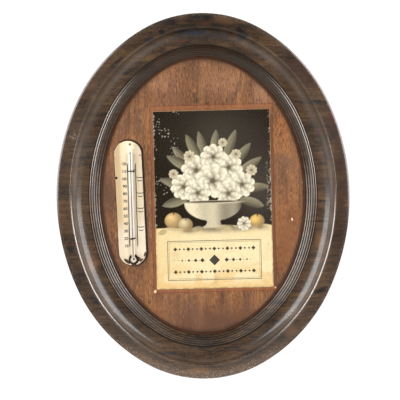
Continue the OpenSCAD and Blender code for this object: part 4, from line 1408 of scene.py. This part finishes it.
# %% [markdown]
# The mercury fills the bulb and stands in the bore as a thread. Its head rides on the moving
# body. The thread below it is a plain cylinder, set in place, that stands for the solid model's
# column.

# %% Mercury, in millimetres
MERCURY_R = 0.41
DROP_R = 2.25
COLUMN_START = 2.95
COLUMN_TOP = 57.52
HEAD_L = 0.59

drop = lathe("bulb_fill", [(0, -DROP_R)] + arc(0, 0, DROP_R, -80, 79, 16)
             + [(MERCURY_R, 2.35), (MERCURY_R, COLUMN_START), (0, COLUMN_START)], 32)
thread = cylinder(MERCURY_R * MM, (COLUMN_TOP - COLUMN_START) * MM, (0, 0, 0), 24)
thread.name = "mercury_thread"
thread.rotation_euler = (math.radians(-90), 0, 0)
thread.location = (0, (COLUMN_START + COLUMN_TOP) / 2 * MM, TUBE_H)
settle(thread)
cap = lathe("thread_head", [(0, COLUMN_TOP), (MERCURY_R, COLUMN_TOP), (MERCURY_R, COLUMN_TOP + HEAD_L)]
            + arc(0, COLUMN_TOP + HEAD_L, MERCURY_R, 10, 90, 8), 24)
for piece in (drop, thread, cap):
    smooth(piece, 50)
    settle(piece, ON_SCALE)
quicksilver = one_noise("mercury", (400, 400, 60), 3, 0.5, ((0.35, 200, 198, 206), (0.65, 238, 238, 240)),
                        (0.3, 0.7, 0.10, 0.24), (0.01, 0.2), Metallic=0.8)
wear(drop, "frame", "mercury", quicksilver, "bulb_mercury")
wear(cap, "column_head", "mercury", quicksilver, "column_meniscus")
settle(thread, HANG)
thread.data.materials.clear()
thread.data.materials.append(quicksilver.material)
foot = HANG @ ON_SCALE @ Vector((0, COLUMN_START * MM, TUBE_H))
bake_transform(thread)
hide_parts("mercury_column")

# %% [markdown]
# Two wire staples hold the tube. Each is a straight bar bent over: a curve runs through its line
# of points and its bevel makes it round. The upper one ends in two twisted tails on its right.

# %% Staples
WIRE_R = 0.45 * MM
WIRE_SIDES = 16
LEG_END = 9.6 * MM
LEG_TOP = TUBE_H - 1.2 * MM
TAIL_H = PLATE_FRONT + WIRE_R + 0.05 * MM


def wire(name, points):
    """A round wire: a curve through a line of points, bevelled and turned into a mesh."""
    deselect()
    bpy.ops.curve.primitive_bezier_curve_add()
    guide = bpy.context.object
    guide.name = name
    line = guide.data.splines.new("POLY")
    line.points.add(len(points) - 1)
    for knot, point in zip(line.points, points):
        knot.co = (*point, 1)
    guide.data.splines.remove(guide.data.splines[0])
    guide.data.dimensions = "3D"
    guide.data.bevel_depth = WIRE_R
    guide.data.bevel_resolution = WIRE_SIDES // 4
    guide.data.use_fill_caps = True
    guide.location = (0, 0, 0)
    pick_object(guide)
    bpy.ops.object.convert(target="MESH")
    made = bpy.context.object
    clean(made, DOUBLES)
    return made


def bridge(name, staple_at):
    """A staple: up one leg, over the tube and down the other leg."""
    bend = arc(0, TUBE_H, BEND_R, 180, 0, 20)
    line = [(-BEND_R, LEG_END), (-BEND_R, LEG_TOP)] + bend + [(BEND_R, LEG_TOP), (BEND_R, LEG_END)]
    return wire(name, [staple_at @ Vector((x, 0, z)) for x, z in line])


lower = bridge("staple_low", AT_LOW_STAPLE)
upper = [bridge("staple_up", AT_HIGH_STAPLE)]
for rise, reach in ((38, 1.6 * MM), (150, 1.2 * MM)):
    slope = math.radians(rise)
    tail = [(BEND_R + share * reach * math.sin(slope), share * reach * math.cos(slope), TAIL_H)
            for share in (0, 0.5, 1)]
    upper.append(wire("tail", [AT_HIGH_STAPLE @ Vector(point) for point in tail]))
upper = join("staple_up", upper)
old_wire = one_noise("dark_wire", 900, 4, 0.7, ((0.35, 20, 17, 16), (0.58, 40, 32, 28), (0.78, 104, 72, 48)),
                     (0.3, 0.7, 0.35, 0.75), (0.05, 0.7), Metallic=0.35)
for piece, node in ((lower, "lower_staple"), (upper, "upper_staple")):
    smooth(piece, 60)
    settle(piece, ON_SCALE)
    wear(piece, "frame", "dark_wire", old_wire, node)

# %% [markdown]
# What stays as it is in the solid model gets a finish too: the small nail at the plate's top,
# the tin strips and solder at the back, and the brass hanger.

# %% Finishes of the metal parts
brass = Finish("old_brass", Metallic=1.0)
tarnish = brass.grain(140, 5, 0.65)
brass.ramp(tarnish, (0.32, 74, 56, 32), (0.50, 150, 116, 62), (0.72, 196, 160, 92))
brass.paint(Roughness=brass.stretch(tarnish, 0.3, 0.7, 0.60, 0.28))
brass.bump(brass.plus(brass.grain((60, 900, 900), 3, 0.6), tarnish), 0.04, 0.5)
dress(brass, "hanger_strap", "hanger_ring", "hanger_rivets", "plate_nail")

tinned = one_noise("tin", 90, 5, 0.7, ((0.35, 120, 114, 106), (0.6, 176, 172, 164)),
                   (0.3, 0.7, 0.35, 0.6), Metallic=0.9)
specks = tinned.grain(420, 3, 0.7)
tinned.wash(tinned.stretch(specks, 0.58, 0.70), 0.8, 112, 70, 44)
tinned.paint()
tinned.bump(specks, 0.05, 0.5)
dress(tinned, "retaining_tabs", "rivet_washers")

lead = one_noise("solder", 260, 4, 0.65, ((0.3, 92, 92, 94), (0.7, 160, 160, 162)),
                 (0.3, 0.7, 0.4, 0.7), (0.12, 0.7), Metallic=0.8)
dress(lead, "tab_solder")
